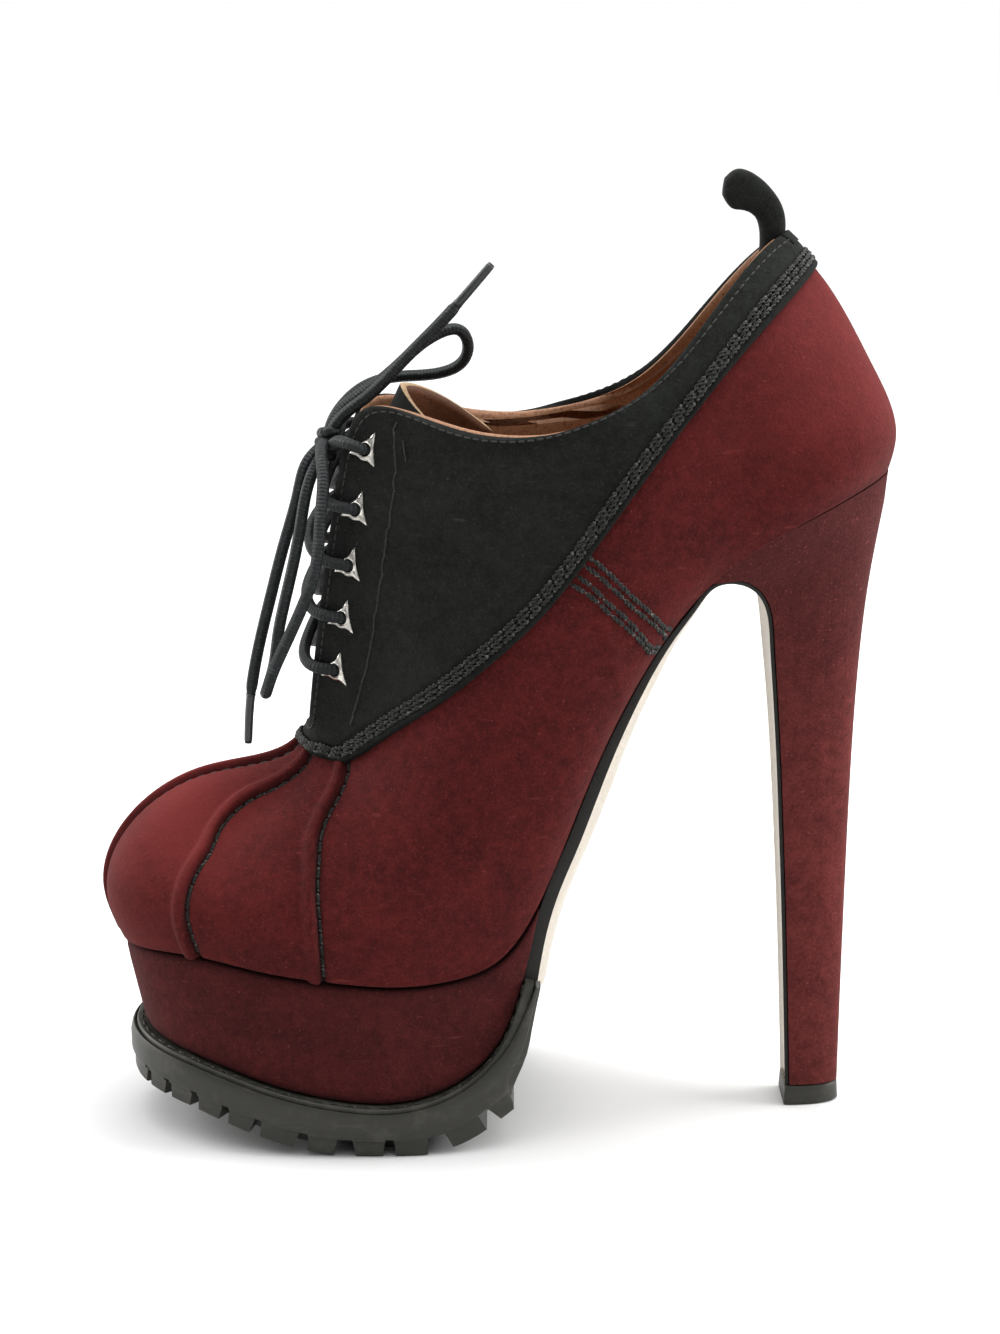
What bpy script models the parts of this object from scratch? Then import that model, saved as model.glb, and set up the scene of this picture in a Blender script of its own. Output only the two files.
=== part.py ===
"""Lace-up platform ankle boot for the right foot, empty and standing on its sole.

Toe towards -X, inner side towards -Y, floor at z = 0. Tables and sizes are in millimetres, and the
meshes are written in metres with the origin on the floor under the middle of the boot.
"""

from collections import namedtuple
import itertools
import math

import bmesh
import bpy
import numpy as np
from mathutils import Matrix, Vector

BOOT_NAME = "lace_up_ankle_boot"
MM = 0.001
GAP = 0.3
MIDDLE = np.array([-0.2, -1.1, 0.0])

WALL = 2.0
TOE_SWING = 4.0
SWING_FROM, SWING_LENGTH = -35.0, 65.0
LATERAL_SHARE = {"feather": 1.0, "belly": 1.0, "crown": 0.7, "seam": 0.4, "edge": 0.0}
DROP_SHARE = {"feather": 0.0, "belly": 0.0, "crown": 0.0, "seam": 0.4, "edge": 1.0}

TUCK_STATIONS = (2, 4)
TUCK_HEIGHT = 1.2
TUCK_PROFILE = ((-1.7, 0.0), (-0.7, 0.9), (0.6, 1.0), (1.5, 0.0))
TUCK_END_LEVEL, TUCK_FADE = 2.9, 0.25

QUARTER_THICK = 1.2
QUARTER_LIFT = 0.45
INSOLE_THICK, INSOLE_INSET = 2.5, 2.7
TONGUE_THICK = 1.8
TONGUE_BEND = 1.7
TONGUE_ROWS, TONGUE_COLUMNS = 11, 11
WELT_THICK = 2.4
PLATFORM_INSET = 0.6
LEVEL_TIP = 0.05
LIFT_HEIGHT, LIFT_FLARE = 5.2, 0.3

EYELET_SIDE = 9.0
EYELET_HOLE = 4.4
EYELET_THICK = 0.8
EYELET_INSET = 7.0
EYELET_HOLE_POINTS = 12
EYELET_LIFT = QUARTER_LIFT + QUARTER_THICK + GAP + 0.05
EYELET_HEIGHTS = (121.0, 134.5, 148.0, 162.0, 176.0)
FACING_LINES = (3.5, 8.0)

LACE = 3.0
LACE_POINT_STEP = 2.2 * LACE
LACE_LIFT = EYELET_LIFT + EYELET_THICK + GAP + LACE / 2 + 0.9
# Strands of a crossing start this far above and below the holes, and stand this far out over the throat.
CROSS_SPREAD = 2.2
CROSS_REACH = 9.3
CROSS_SHOULDER = np.array([-4.5, -3.6, 0.6])


# One row for each line of the last round the foot, from the toe tip along the inner side to the back of the
# heel. A line climbs from the feather edge over the belly and the crown of the wall to the seam under the
# black quarter, and on to the edge of throat or collar. Each point is (along, half width, height). Wider and
# lower say how much the outer side gains in half width, and how much lower its collar lies.
Line = namedtuple("Line", "name feather belly crown seam edge wider lower")
LAST = (
    Line("toe_tip", (-96.3, 0, 48.5), (-100, 0, 61), (-76, 0, 90), (-49.8, 0, 98.6),
         (-46, 0, 103.8), 0, 0),
    Line("toe_corner", (-90.2, 19.5, 49.6), (-94.2, 22.5, 62.5), (-73.5, 12, 88.3),
         (-48.6, 5, 98.1), (-45.9, 2.5, 104), -1, 0),
    Line("toe_side", (-74, 31, 50.2), (-76.5, 34.5, 64.5), (-67, 22.5, 81),
         (-45.3, 10.5, 97.2), (-45.8, 5, 104.8), -1.5, 0),
    Line("vamp_side", (-57.5, 36.3, 47.6), (-58.5, 40, 63), (-54.5, 28.5, 81.5),
         (-41.2, 14, 97), (-45.8, 7.3, 106.8), -0.5, 0),
    Line("forefoot", (-41, 38, 45.3), (-41.5, 42, 62), (-41.5, 31.5, 81.5),
         (-36.6, 17.5, 97.5), (-45.7, 9, 110.5), 1.5, 0),
    Line("ball", (-25, 38, 44), (-25.5, 42, 61.5), (-27.5, 34.5, 85), (-26.5, 24.5, 105.5),
         (-44.3, 10.5, 124), 3.5, 0),
    Line("tread", (-10, 36, 45), (-10, 40, 63.5), (-12, 38, 91), (-12, 32.5, 117),
         (-41.3, 11.5, 147), 4.5, 0),
    Line("ball_rear", (3, 33.5, 50.5), (4.5, 37.5, 70), (2, 38, 99.5), (0, 35.5, 127.5),
         (-37.5, 12, 171), 4, 0),
    Line("waist_low", (13, 30, 66), (16, 35, 86), (14.5, 37.5, 113), (11.5, 36, 138.5),
         (-31.5, 13, 186.5), 3.5, 1),
    Line("waist_mid", (24, 25.5, 93), (27.5, 32, 109), (28, 36, 133), (26, 34.5, 157),
         (-11, 22, 183.7), 3.5, 1.5),
    Line("waist_high", (38, 23, 122), (41.5, 30, 134.5), (42, 33.5, 155), (40.5, 32, 177),
         (14, 28.7, 182.8), 3, 2),
    Line("heel_front", (54.5, 23.5, 144.5), (57.5, 29, 155), (57, 31, 174.5), (54.5, 28.5, 195),
         (37, 27, 192.3), 2, 3.5),
    Line("heel_side", (74, 25, 158.5), (77.5, 29, 170.5), (74.5, 27, 190), (67.5, 21, 209),
         (54.5, 18.5, 212), 0.5, 3.5),
    Line("heel_corner", (91.5, 17, 166.8), (95, 19.5, 177), (90.3, 15.5, 195.5), (76.6, 10, 217.3),
         (67, 7.8, 225.5), 0, 1.5),
    Line("heel_back", (100, 0, 170), (101.6, 0, 178.5), (95.3, 0, 196), (80, 0, 220.4),
         (72, 0, 228.2), 0, 0),
)
LEVELS = ("feather", "belly", "crown", "seam", "edge")
WALL_ROWS = ((0, 2), (1, 3), (2, 3), (3, 3))
COLUMNS_BETWEEN = (3, 3, 3, 3, 2, 2, 2, 2, 2, 2, 2, 2, 2, 2)
# Steps by which tangents of the wall are taken, and the least spread of its lines where they run together.
PLACE_STEP, LEVEL_STEP, SLOWEST_PACE = 0.5, 0.02, 0.05

# One row for each section of the sole unit, from the toe tip to where it runs out behind the ball: underside of
# the platform, half widths there on the inner and outer side, and the tread below it.
Sole = namedtuple("Sole", "name under_x under_z inner outer tread_x tread_z last_line")
SOLE = (
    Sole("toe_tip", -91.2, 25.6, 0, 0, -90.4, 13.4, 0),
    Sole("toe_corner", -85.6, 24.8, 18.5, 17.5, -85.6, 12.2, 1),
    Sole("toe_side", -72, 22.2, 30.6, 29.2, -72.5, 9.0, 2),
    Sole("vamp_side", -56, 17.6, 36.4, 35.6, -56, 3.7, 3),
    Sole("forefoot", -39, 13.8, 37.8, 39.3, -38, 0, 4),
    Sole("ball", -22, 13.2, 37.3, 40.8, -17, 0, 5),
    Sole("tread", -8, 18, 35.2, 39, -4, 4.2, 6),
    Sole("rise", 0.5, 25.5, 33, 37, 7.2, 14.8, 7),
    Sole("run_out", 8, 44, 30.6, 34.4, 12.4, 42.3, 7.6),
)
PLATFORM_END = (11.7, 61.0, 29.4, 33.0, 7.85)
SOLE_STEPS = np.concatenate([np.arange(0, 2, 0.25), np.arange(2, len(SOLE) - 1, 1 / 3), [len(SOLE) - 1]])
WELT_LEDGE = 2.3
# Rings of the rubber from the seat of the welt over its raised rim to the tread: share of the depth, how far it
# stands out, and height of the rim, which runs out at the rear.
Ring = namedtuple("Ring", "name share out rim")
RUBBER_RINGS = (
    Ring("seat", 0.0, 2.7, 0.0), Ring("rim_inside", 0.0, 2.75, 1.7), Ring("rim_outside", 0.0, 3.4, 1.7),
    Ring("band_top", 0.1, 3.7, 0.0), Ring("band_foot", 0.55, 3.4, 0.0), Ring("step", 0.6, 2.5, 0.0),
    Ring("tread", 1.0, 2.0, 0.0),
)
RIM_RUN_OUT = 3

# Gaps between the lugs: place along the sole, width, and whether the gap runs right across.
LugGap = namedtuple("LugGap", "x width across")
LUG_GAPS = (
    LugGap(-87.3, 2.2, False), LugGap(-82, 2.4, False), LugGap(-75.2, 2.6, False), LugGap(-67.8, 2.6, False),
    LugGap(-60, 2.6, False), LugGap(-48.5, 3.2, False), LugGap(-37.4, 5.2, True), LugGap(-26, 3.0, False),
    LugGap(-13, 6.0, True), LugGap(0.5, 4.0, True),
)
LUG_DEPTH = 5.0
LUG_REACH = 12.0
GAP_MOUTH, GAP_FLOOR = 1.3, 0.7
OVERCUT = 2.0
SIDE_OVERCUT = 4.0
CROSS_LENGTH = 120.0
LONG_GROOVE_Y, LONG_GROOVE_WIDTH = 17.0, 4.0
LONG_GROOVE_FROM, LONG_GROOVE_TO = -62.0, -8.0

# The waist sole starts behind the platform and follows the feather edge of the last to the heel, then the
# heel's own front down its breast: line of the last, half widths, edge thickness, rounding of the underside.
Waist = namedtuple("Waist", "name last_line inner outer thick bulge")
WAIST_START = (9.4, 46.6)
WAIST = (
    Waist("platform_end", 7.5, 29.6, 33.2, 3.4, 1.0),
    Waist("waist_low", 8, 29.2, 32.7, 3.2, 2.5),
    Waist("waist_mid", 9, 25.0, 28.4, 3.0, 3.6),
    Waist("waist_high", 10, 22.6, 25.4, 2.8, 3.0),
    Waist("heel_front", 11, 22.8, 24.6, 1.8, 1.0),
)
WAIST_LINES = np.array([8, 8.5, 9, 9.5, 10, 10.4, 10.75, 11])
# Sections of the heel from under its seat to the top lift: front of the breast, back, and half width.
Heel = namedtuple("Heel", "name front_x front_z back_x back_z half")
HEEL = (
    Heel("lip", 61.5, 145, 99.2, 162.5, 22.3),
    Heel("arch", 67.3, 141, 97.6, 152.5, 18.5),
    Heel("neck", 70.8, 128, 95.5, 137, 14.5),
    Heel("high", 72.6, 109, 93.8, 114, 11.3),
    Heel("middle", 74.7, 80, 92.8, 83, 9),
    Heel("low", 76.9, 40, 92.2, 41, 7.4),
    Heel("lift_top", 78.4, 5.6, 91.9, 5.6, 6.6),
)
BREAST_THICK, BREAST_INSET = 1.0, 0.5
HEEL_ROUND = 2.4
HEEL_SHARES = np.array([0, 0.12, 0.3, 0.5, 0.68, 0.82, 0.92, 0.98, 1.0])
HEEL_STEPS = 2
HEEL_FIRST = 1 + len(WAIST_LINES)
HEEL_SEAT_FRONT = 11.15

# The tongue from its root under the vamp to its top: front line, half width, and how far the wings lie back.
Tongue = namedtuple("Tongue", "name x z half depth wing_drop")
TONGUE = (
    Tongue("root", -43.0, 90.5, 6.5, 1.0, 0),
    Tongue("low", -39.6, 111, 9, 4.0, 0),
    Tongue("middle", -36.5, 140, 14.5, 9.0, 0),
    Tongue("high", -31.0, 168, 17.5, 15, 2),
    Tongue("top", -21.5, 190.5, 19, 21.5, 9),
)

# Side view of the pull loop, a strap folded on itself, from inside the collar to the fold.
Pull = namedtuple("Pull", "name x z thick")
PULL_LOOP = (
    Pull("foot", 66.9, 224.2, 4.2),
    Pull("mouth", 68.1, 229.6, 5.2),
    Pull("neck", 68.0, 234.0, 6.0),
    Pull("bend", 65.6, 237.0, 7.8),
    Pull("fold", 61.8, 239.2, 9.8),
    Pull("turn", 58.8, 239.8, 8.2),
    Pull("tip", 57.3, 240.0, 4.4),
)
PULL_LOOP_WIDTH = 8.0
PULL_SECTIONS, PULL_CORNERS = 13, 15
PULL_SQUARE = (0.6, 0.8)

# Hand-laid routes of the free lace, from the knot outwards.
KNOT_AT = (-43.5, -3.0, 177.5)
KNOT_HALF = (4.2, 6.0, 4.6)
LACE_ROUTES = {
    "lace_end_far": (
        (-38.6, -5.5, 182.4), (-30.4, -6, 189.4), (-22.8, -6, 197), (-12.9, -6, 207), (-5.4, -6, 215.3),
        (0, -6, 221.6)),
    "lace_loop_far": (
        (-39.3, 1.5, 183), (-30, 6, 190), (-22, 9, 196.5), (-13.5, 11.5, 202.5), (-8.8, 13, 203.3),
        (-6.2, 16, 199), (-8, 18.5, 194), (-15, 20, 191), (-25, 18, 190.5), (-34, 12.5, 188), (-40, 6, 182)),
    "lace_end_near": (
        (-46.3, -8, 172.4), (-48.5, -9, 165), (-51.8, -9.5, 153.5), (-56, -10, 138), (-59.2, -10, 125.2),
        (-61.5, -10, 112), (-62.3, -10, 100.5)),
    "lace_loop_near": (
        (-42.4, -12, 176.2), (-41.6, -18.5, 171), (-42, -23.5, 162), (-42.6, -26, 153.5), (-43.9, -27, 147),
        (-46.6, -27.1, 139.9), (-51.2, -27.1, 129.8), (-54.8, -26.9, 121.5), (-55.9, -25.5, 118.2),
        (-56.4, -22.3, 116.9), (-56, -19.1, 118.2), (-55, -17.7, 121.5), (-53.6, -17.4, 130), (-51, -16.8, 141.9),
        (-47.6, -14.5, 157.9), (-46, -12.8, 166.5)),
}


def start_scene():
    """An empty scene with one collection for the parts and one for the cutters."""
    for obj in list(bpy.data.objects):
        bpy.data.objects.remove(obj, do_unlink=True)
    made = []
    for name in (BOOT_NAME, "cutters"):
        collection = bpy.data.collections.new(name)
        bpy.context.scene.collection.children.link(collection)
        made.append(collection)
    made[1].hide_render = True
    return made


PARTS, CUTTERS = start_scene()


def finish(name, colour, roughness, metallic=0.0):
    """A plain material of this colour."""
    material = bpy.data.materials.new(name)
    material.use_nodes = True
    shader = material.node_tree.nodes["Principled BSDF"]
    shader.inputs["Base Color"].default_value = (*colour, 1.0)
    shader.inputs["Roughness"].default_value = roughness
    shader.inputs["Metallic"].default_value = metallic
    return material


BURGUNDY_SUEDE = ((0.13, 0.022, 0.026), 0.95)
BLACK_SUEDE = ((0.012, 0.012, 0.012), 0.95)
BLACK_RUBBER = ((0.035, 0.037, 0.033), 0.6)
SOLE_LEATHER = ((0.55, 0.47, 0.38), 0.5)
LINING_LEATHER = ((0.23, 0.09, 0.035), 0.55)
WAXED_CORD = ((0.03, 0.034, 0.036), 0.7)
EYELET_STEEL = ((0.6, 0.58, 0.54), 0.3, 1.0)


def cubic_through(knots, values, closed=False):
    """The smooth cubic curve through values at knots, as a function. A closed one ends on its first value."""
    knots = np.asarray(knots, float)
    values = np.asarray(values, float)
    count = len(knots)
    steps = np.diff(knots)
    slopes = np.diff(values, axis=0) / steps[:, None]
    system = np.eye(count)
    right = np.zeros_like(values)
    for i in range(1, count - 1):
        system[i, i - 1:i + 2] = steps[i - 1], 2 * (steps[i - 1] + steps[i]), steps[i]
        right[i] = 6 * (slopes[i] - slopes[i - 1])
    if closed:
        system[0, :2] = 2 * (steps[-1] + steps[0]), steps[0]
        system[0, -2] = steps[-1]
        right[0] = 6 * (slopes[0] - slopes[-1])
        system[-1, 0] = -1
    bends = np.linalg.solve(system, right)

    def curve(at):
        at = np.atleast_1d(np.asarray(at, float))
        if closed:
            at = knots[0] + (at - knots[0]) % (knots[-1] - knots[0])
        i = np.clip(np.searchsorted(knots, at, side="right") - 1, 0, count - 2)
        step = steps[i][:, None]
        after = ((at - knots[i])[:, None]) / step
        before = 1 - after
        bent = (before**3 - before) * bends[i] + (after**3 - after) * bends[i + 1]
        return before * values[i] + after * values[i + 1] + bent * step**2 / 6

    return curve


def chord_knots(points):
    """Running length along the points."""
    return np.concatenate([[0], np.cumsum(np.linalg.norm(np.diff(points, axis=0), axis=1))])


def swung(points):
    """Points with the fore part bent towards the inner side, as the foot's own curve."""
    points = np.array(points, float)
    share = np.clip((SWING_FROM - points[:, 0]) / SWING_LENGTH, 0, 1.2)
    points[:, 1] -= TOE_SWING * share**2
    return points


def last_loop(level):
    """Control points of one level right round the last: inner side, heel back, outer side, toe tip again."""
    inner = []
    outer = []
    for line in LAST:
        along, half, height = getattr(line, level)
        inner.append((along, -half, height))
        wider = line.wider * LATERAL_SHARE[level]
        lower = line.lower * DROP_SHARE[level]
        outer.append((along, half + wider if half else 0, height - lower))
    return swung(inner + outer[-2::-1])


def last_knots():
    """Places of the lines round the last, the same for each level and for both sides."""
    count = len(LAST)
    lengths = [chord_knots(last_loop(level)[:count]) for level in LEVELS]
    half = np.mean(lengths, axis=0)
    return np.concatenate([half, 2 * half[-1] - half[-2::-1]])


KNOTS = last_knots()
LOOPS = {level: cubic_through(KNOTS, last_loop(level), closed=True) for level in LEVELS}
LINE_NUMBERS = np.arange(len(LAST))


def place(line, side=-1):
    """Place round the last of a line number, which may be a fraction: side -1 is the inner side."""
    knot = np.interp(line, LINE_NUMBERS, KNOTS[:len(LAST)])
    return knot if side < 0 else KNOTS[-1] - knot


def wall_points(at, levels):
    """Points of the outside of the upper at one place round the last, by level number."""
    controls = np.vstack([LOOPS[level](at) for level in LEVELS])
    knots = chord_knots(controls)
    return cubic_through(knots, controls)(np.interp(levels, range(len(LEVELS)), knots))


def wall_frame(at, level):
    """Point, tangent round the last, tangent up the wall and outward normal."""
    point, below = wall_points(at, [level, level - LEVEL_STEP])
    beside = wall_points(at + PLACE_STEP, [level])[0] - wall_points(at - PLACE_STEP, [level])[0]
    up = point - below
    normal = np.cross(beside, up)
    return point, beside / np.linalg.norm(beside), up / np.linalg.norm(up), normal / np.linalg.norm(normal)


def wall_levels(first, last):
    """Level numbers of the mesh rows between two levels."""
    rows = []
    for level, steps in WALL_ROWS[first:last]:
        rows += [level + i / steps for i in range(steps)]
    return np.array(rows + [float(last)])


def wall_columns():
    """Mesh columns round the last: (place, offset in millimetres, share of the tuck's height)."""
    columns = []
    half = [(0, -1)]
    half += [(line, -1) for line in TUCK_STATIONS] + [(line, 1) for line in TUCK_STATIONS]
    tucks = {place(line, side) for line, side in half}
    for i in range(len(KNOTS) - 1):
        station = min(i, len(KNOTS) - 2 - i)
        if KNOTS[i] in tucks:
            columns += [(KNOTS[i], offset, share) for offset, share in TUCK_PROFILE]
        else:
            columns.append((KNOTS[i], 0.0, 0.0))
        steps = COLUMNS_BETWEEN[station]
        columns += [(KNOTS[i] + (KNOTS[i + 1] - KNOTS[i]) * k / steps, 0.0, 0.0) for k in range(1, steps)]
    return columns


def wall_grid(levels, lift=0.0, tucked=True):
    """Rows of points right round the outside of the upper, lifted off it, with the vamp's pin tucks raised."""
    columns = []
    for at, offset, share in wall_columns():
        line = wall_points(at, levels)
        beside = wall_points(at + PLACE_STEP, levels) - wall_points(at - PLACE_STEP, levels)
        speed = np.linalg.norm(beside, axis=1)
        points = []
        for level, point, pace in zip(levels, line, speed):
            fade = np.clip((TUCK_END_LEVEL - level) / TUCK_FADE, 0, 1) if tucked else 0
            foot = at + offset / max(pace, SLOWEST_PACE)
            normal = wall_frame(foot, max(level, LEVEL_STEP))[3]
            points.append(wall_points(foot, [level])[0] + normal * (lift + share * fade * TUCK_HEIGHT))
        columns.append(points)
    return np.array(columns).transpose(1, 0, 2)


def new_object(name, points, faces, material):
    """A mesh object from points in millimetres, facing out."""
    mesh = bpy.data.meshes.new(name)
    mesh.from_pydata([Vector(p) for p in (np.asarray(points) + MIDDLE) * MM], [], faces)
    mesh.validate()
    mesh.shade_smooth()
    mesh.set_sharp_from_angle(angle=math.radians(40))
    obj = bpy.data.objects.new(name, mesh)
    PARTS.objects.link(obj)
    mesh.materials.append(finish(name, *material))
    return obj


def face_out(obj):
    """Turns all faces of a closed mesh outwards."""
    mesh = bmesh.new()
    mesh.from_mesh(obj.data)
    bmesh.ops.recalc_face_normals(mesh, faces=mesh.faces)
    mesh.to_mesh(obj.data)
    mesh.free()
    return obj


def grid_object(name, grid, material, thickness, offset, closed):
    """An open sheet of rows and columns, given its thickness: offset -1 grows it inwards, 1 outwards."""
    rows, columns = grid.shape[:2]
    faces = []
    for row in range(rows - 1):
        for column in range(columns if closed else columns - 1):
            beside = (column + 1) % columns
            low, high = row * columns, (row + 1) * columns
            faces.append((low + column, low + beside, high + beside, high + column))
    obj = new_object(name, grid.reshape(-1, 3), faces, material)
    sheet = obj.modifiers.new("thickness", "SOLIDIFY")
    sheet.thickness = thickness * MM
    sheet.offset = offset
    sheet.use_rim = True
    return obj


def loft(name, rings, material, rear_single=False):
    """A closed solid through rings of points. Each end is closed by rungs between its two sides."""
    rings = np.asarray(rings)
    count = rings.shape[1]
    faces = []
    for ring in range(len(rings) - 1):
        low, high = ring * count, (ring + 1) * count
        for i in range(count):
            beside = (i + 1) % count
            faces.append((low + i, low + beside, high + beside, high + i))
    turn = 0 if rear_single else 1
    rungs = [(i, (count - turn - i) % count) for i in range(count // 2 + 1)]
    for base in (0, (len(rings) - 1) * count):
        for (a, b), (c, d) in zip(rungs, rungs[1:]):
            corners = list(dict.fromkeys((base + a, base + c, base + d, base + b)))
            faces.append(tuple(corners))
    return face_out(new_object(name, rings.reshape(-1, 3), faces, material))


def feather_ring(lines, inset, lift, rear_single=False):
    """The feather edge from the last of these lines round the toe and back, moved in and off the bottom."""
    inner = np.vstack([LOOPS["feather"](place(line)) for line in lines])
    outer = np.vstack([LOOPS["feather"](place(line, 1)) for line in lines])
    both = np.vstack([inner[::-1], outer[1:-1] if rear_single else outer[1:]])
    normals = side_normals(inner[:, [0, 2]])
    normals = np.vstack([normals[::-1], normals[1:-1] if rear_single else normals[1:]])
    moved = grown(both, -inset, closed=rear_single)
    moved[:, [0, 2]] -= normals * lift
    return moved


def side_normals(path):
    """Normals of a side-view path of (x, z) that runs from toe to heel, pointing down and out."""
    run = np.gradient(path, axis=0)
    run /= np.linalg.norm(run, axis=1)[:, None]
    return np.stack([run[:, 1], -run[:, 0]], axis=1)


def grown(ring, by, closed=False):
    """A ring moved outwards within the sloping surface that it lies on."""
    if closed:
        run = np.roll(ring, -1, axis=0) - np.roll(ring, 1, axis=0)
    else:
        run = np.gradient(ring, axis=0)
    ahead = np.where(run[:, 0] < 0, -1, 1)
    level = np.abs(run[:, 0]) + LEVEL_TIP * np.abs(run[:, 1])
    length = np.hypot(level, run[:, 2])
    slope_x, slope_z = level / length, ahead * run[:, 2] / length
    out = np.stack([-run[:, 1] * slope_x, ahead * length, -run[:, 1] * slope_z], axis=1)
    return ring + out / np.linalg.norm(out, axis=1)[:, None] * by


def sole_ring(rows, steps):
    """A smooth ring through rows of (x, inner, outer, z), from the rear of the inner side round the toe."""
    inner = [(x, -half, z) for x, half, _, z in rows]
    outer = [(x, half, z) for x, _, half, z in rows]
    controls = swung(inner[::-1] + outer[1:])
    knots = chord_knots(controls)
    curve = cubic_through(knots, controls)
    numbers = np.arange(len(controls)) - (len(rows) - 1)
    places = np.concatenate([-np.asarray(steps)[::-1], np.asarray(steps)[1:]])
    return curve(np.interp(places, numbers, knots))


def dropped(ring, by):
    """A sole ring moved down and out along the normals of its side view."""
    half = len(ring) // 2
    normals = side_normals(ring[half:, [0, 2]])
    moved = np.array(ring)
    moved[:, [0, 2]] += np.vstack([normals[:0:-1], normals]) * by
    return moved


def make_upper():
    """The hollow wall on the last, and the black quarter that lies over it from seam to edge."""
    upper = wall_grid(wall_levels(0, 4))
    grid_object("upper", upper, BURGUNDY_SUEDE, WALL, -1, closed=True)
    quarter = wall_grid(wall_levels(3, 4), lift=QUARTER_LIFT, tucked=False)
    grid_object("quarter", quarter, BLACK_SUEDE, QUARTER_THICK, 1, closed=True)


def make_insole():
    """A board within the feather edge, which closes the inside underneath."""
    lines = np.concatenate([np.arange(0, 2, 0.25), np.arange(2, 8, 0.5), np.arange(8, 14.01, 0.25)])
    rings = [feather_ring(lines, INSOLE_INSET, lift, rear_single=True) for lift in (GAP, GAP + INSOLE_THICK)]
    loft("insole", rings, LINING_LEATHER, rear_single=True)


def under_rows():
    """Rows of the platform's underside, as a sole ring takes them."""
    return [(row.under_x, row.inner, row.outer, row.under_z) for row in SOLE]


def make_platform():
    """The covered block between the feather edge and the welt, which runs out under the waist."""
    x, z, inner, outer, last_line = PLATFORM_END
    steps = np.append(SOLE_STEPS, len(SOLE))
    under = sole_ring(under_rows() + [(x, inner, outer, z)], steps)
    lines = np.interp(steps, range(len(SOLE) + 1), [row.last_line for row in SOLE] + [last_line])
    top = feather_ring(lines, PLATFORM_INSET, -GAP)
    loft("platform", [top, under], BURGUNDY_SUEDE)


def make_welt():
    """A thin rim that stands out under the platform."""
    under = sole_ring(under_rows(), SOLE_STEPS)
    top = dropped(grown(under, WELT_LEDGE), GAP)
    loft("welt", [top, dropped(top, WELT_THICK)], BLACK_RUBBER)


def tread_ring():
    """Edge of the tread, flat on the floor under forefoot and ball."""
    ring = sole_ring([(row.tread_x, row.inner, row.outer, row.tread_z) for row in SOLE], SOLE_STEPS)
    ring[:, 2] = np.maximum(ring[:, 2], 0)
    return ring


def make_outsole():
    """The rubber unit, with its lugs left standing between cut gaps."""
    top = dropped(sole_ring(under_rows(), SOLE_STEPS), WELT_THICK + 2 * GAP)
    tread = tread_ring()
    ends = np.minimum(np.arange(len(top)), np.arange(len(top))[::-1])
    fade = np.clip(ends / RIM_RUN_OUT, 0, 1)[:, None]
    rings = []
    for row in RUBBER_RINGS:
        ring = grown(top + (tread - top) * row.share, row.out)
        rings.append(ring + (dropped(ring, -row.rim) - ring) * fade)
    outsole = loft("outsole", rings, BLACK_RUBBER)
    for cutter in (perimeter_gaps(tread), cross_gaps(tread), long_grooves()):
        cutter.display_type = "WIRE"
        cutter.hide_render = True
        cut = outsole.modifiers.new(cutter.name, "BOOLEAN")
        cut.operation = "DIFFERENCE"
        cut.solver = "EXACT"
        cut.object = cutter


def gap_cutter(name, frames):
    """Tapered boxes as one cutter. A frame is (middle of mouth, along, across, up, length, width, depth)."""
    boxes = bmesh.new()
    for middle, along, across, up, length, width, depth in frames:
        for corner in bmesh.ops.create_cube(boxes, size=1.0)["verts"]:
            a, b, c = corner.co
            spread, rise = (GAP_FLOOR, depth) if c > 0 else (GAP_MOUTH, -OVERCUT)
            point = middle + along * a * length + across * b * width * spread + up * rise
            corner.co = (point + MIDDLE) * MM
    boxes.normal_update()
    bmesh.ops.recalc_face_normals(boxes, faces=boxes.faces)
    mesh = bpy.data.meshes.new(name)
    boxes.to_mesh(mesh)
    boxes.free()
    cutter = bpy.data.objects.new(name, mesh)
    CUTTERS.objects.link(cutter)
    return cutter


def tread_frame(tread, x, side):
    """Point on the edge of the tread at this place along the sole, with inward, tangent and up directions."""
    half = len(tread) // 2
    edge = tread[half:] if side > 0 else tread[half::-1]
    normals = side_normals(edge[:, [0, 2]])
    i = int(np.argmin(abs(edge[:, 0] - x)))
    point = np.array([np.interp(x, edge[:, 0], edge[:, k]) for k in range(3)])
    run = edge[min(i + 1, len(edge) - 1)] - edge[max(i - 1, 0)]
    up = np.array([-normals[i, 0], 0, -normals[i, 1]])
    tangent = run / np.linalg.norm(run)
    inward = np.cross(up, tangent) * side
    inward /= np.linalg.norm(inward)
    return point, inward, np.cross(inward, up), up


def perimeter_gaps(tread):
    """Short gaps in from the edge of the tread on both sides."""
    frames = []
    for gap, side in itertools.product(LUG_GAPS, (-1, 1)):
        if not gap.across:
            point, inward, tangent, up = tread_frame(tread, gap.x, side)
            middle = point + inward * (LUG_REACH - SIDE_OVERCUT) / 2
            frames.append((middle, inward, tangent, up, LUG_REACH + SIDE_OVERCUT, gap.width, LUG_DEPTH))
    return gap_cutter("lug_gaps", frames)


def cross_gaps(tread):
    """Gaps that run right across the tread."""
    frames = []
    across = np.array([0.0, 1.0, 0.0])
    for gap in LUG_GAPS:
        if gap.across:
            point, _, _, up = tread_frame(tread, gap.x, -1)
            middle = np.array([point[0], 0, point[2]])
            frames.append((middle, across, np.cross(across, up), up, CROSS_LENGTH, gap.width, LUG_DEPTH))
    return gap_cutter("cross_gaps", frames)


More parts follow.
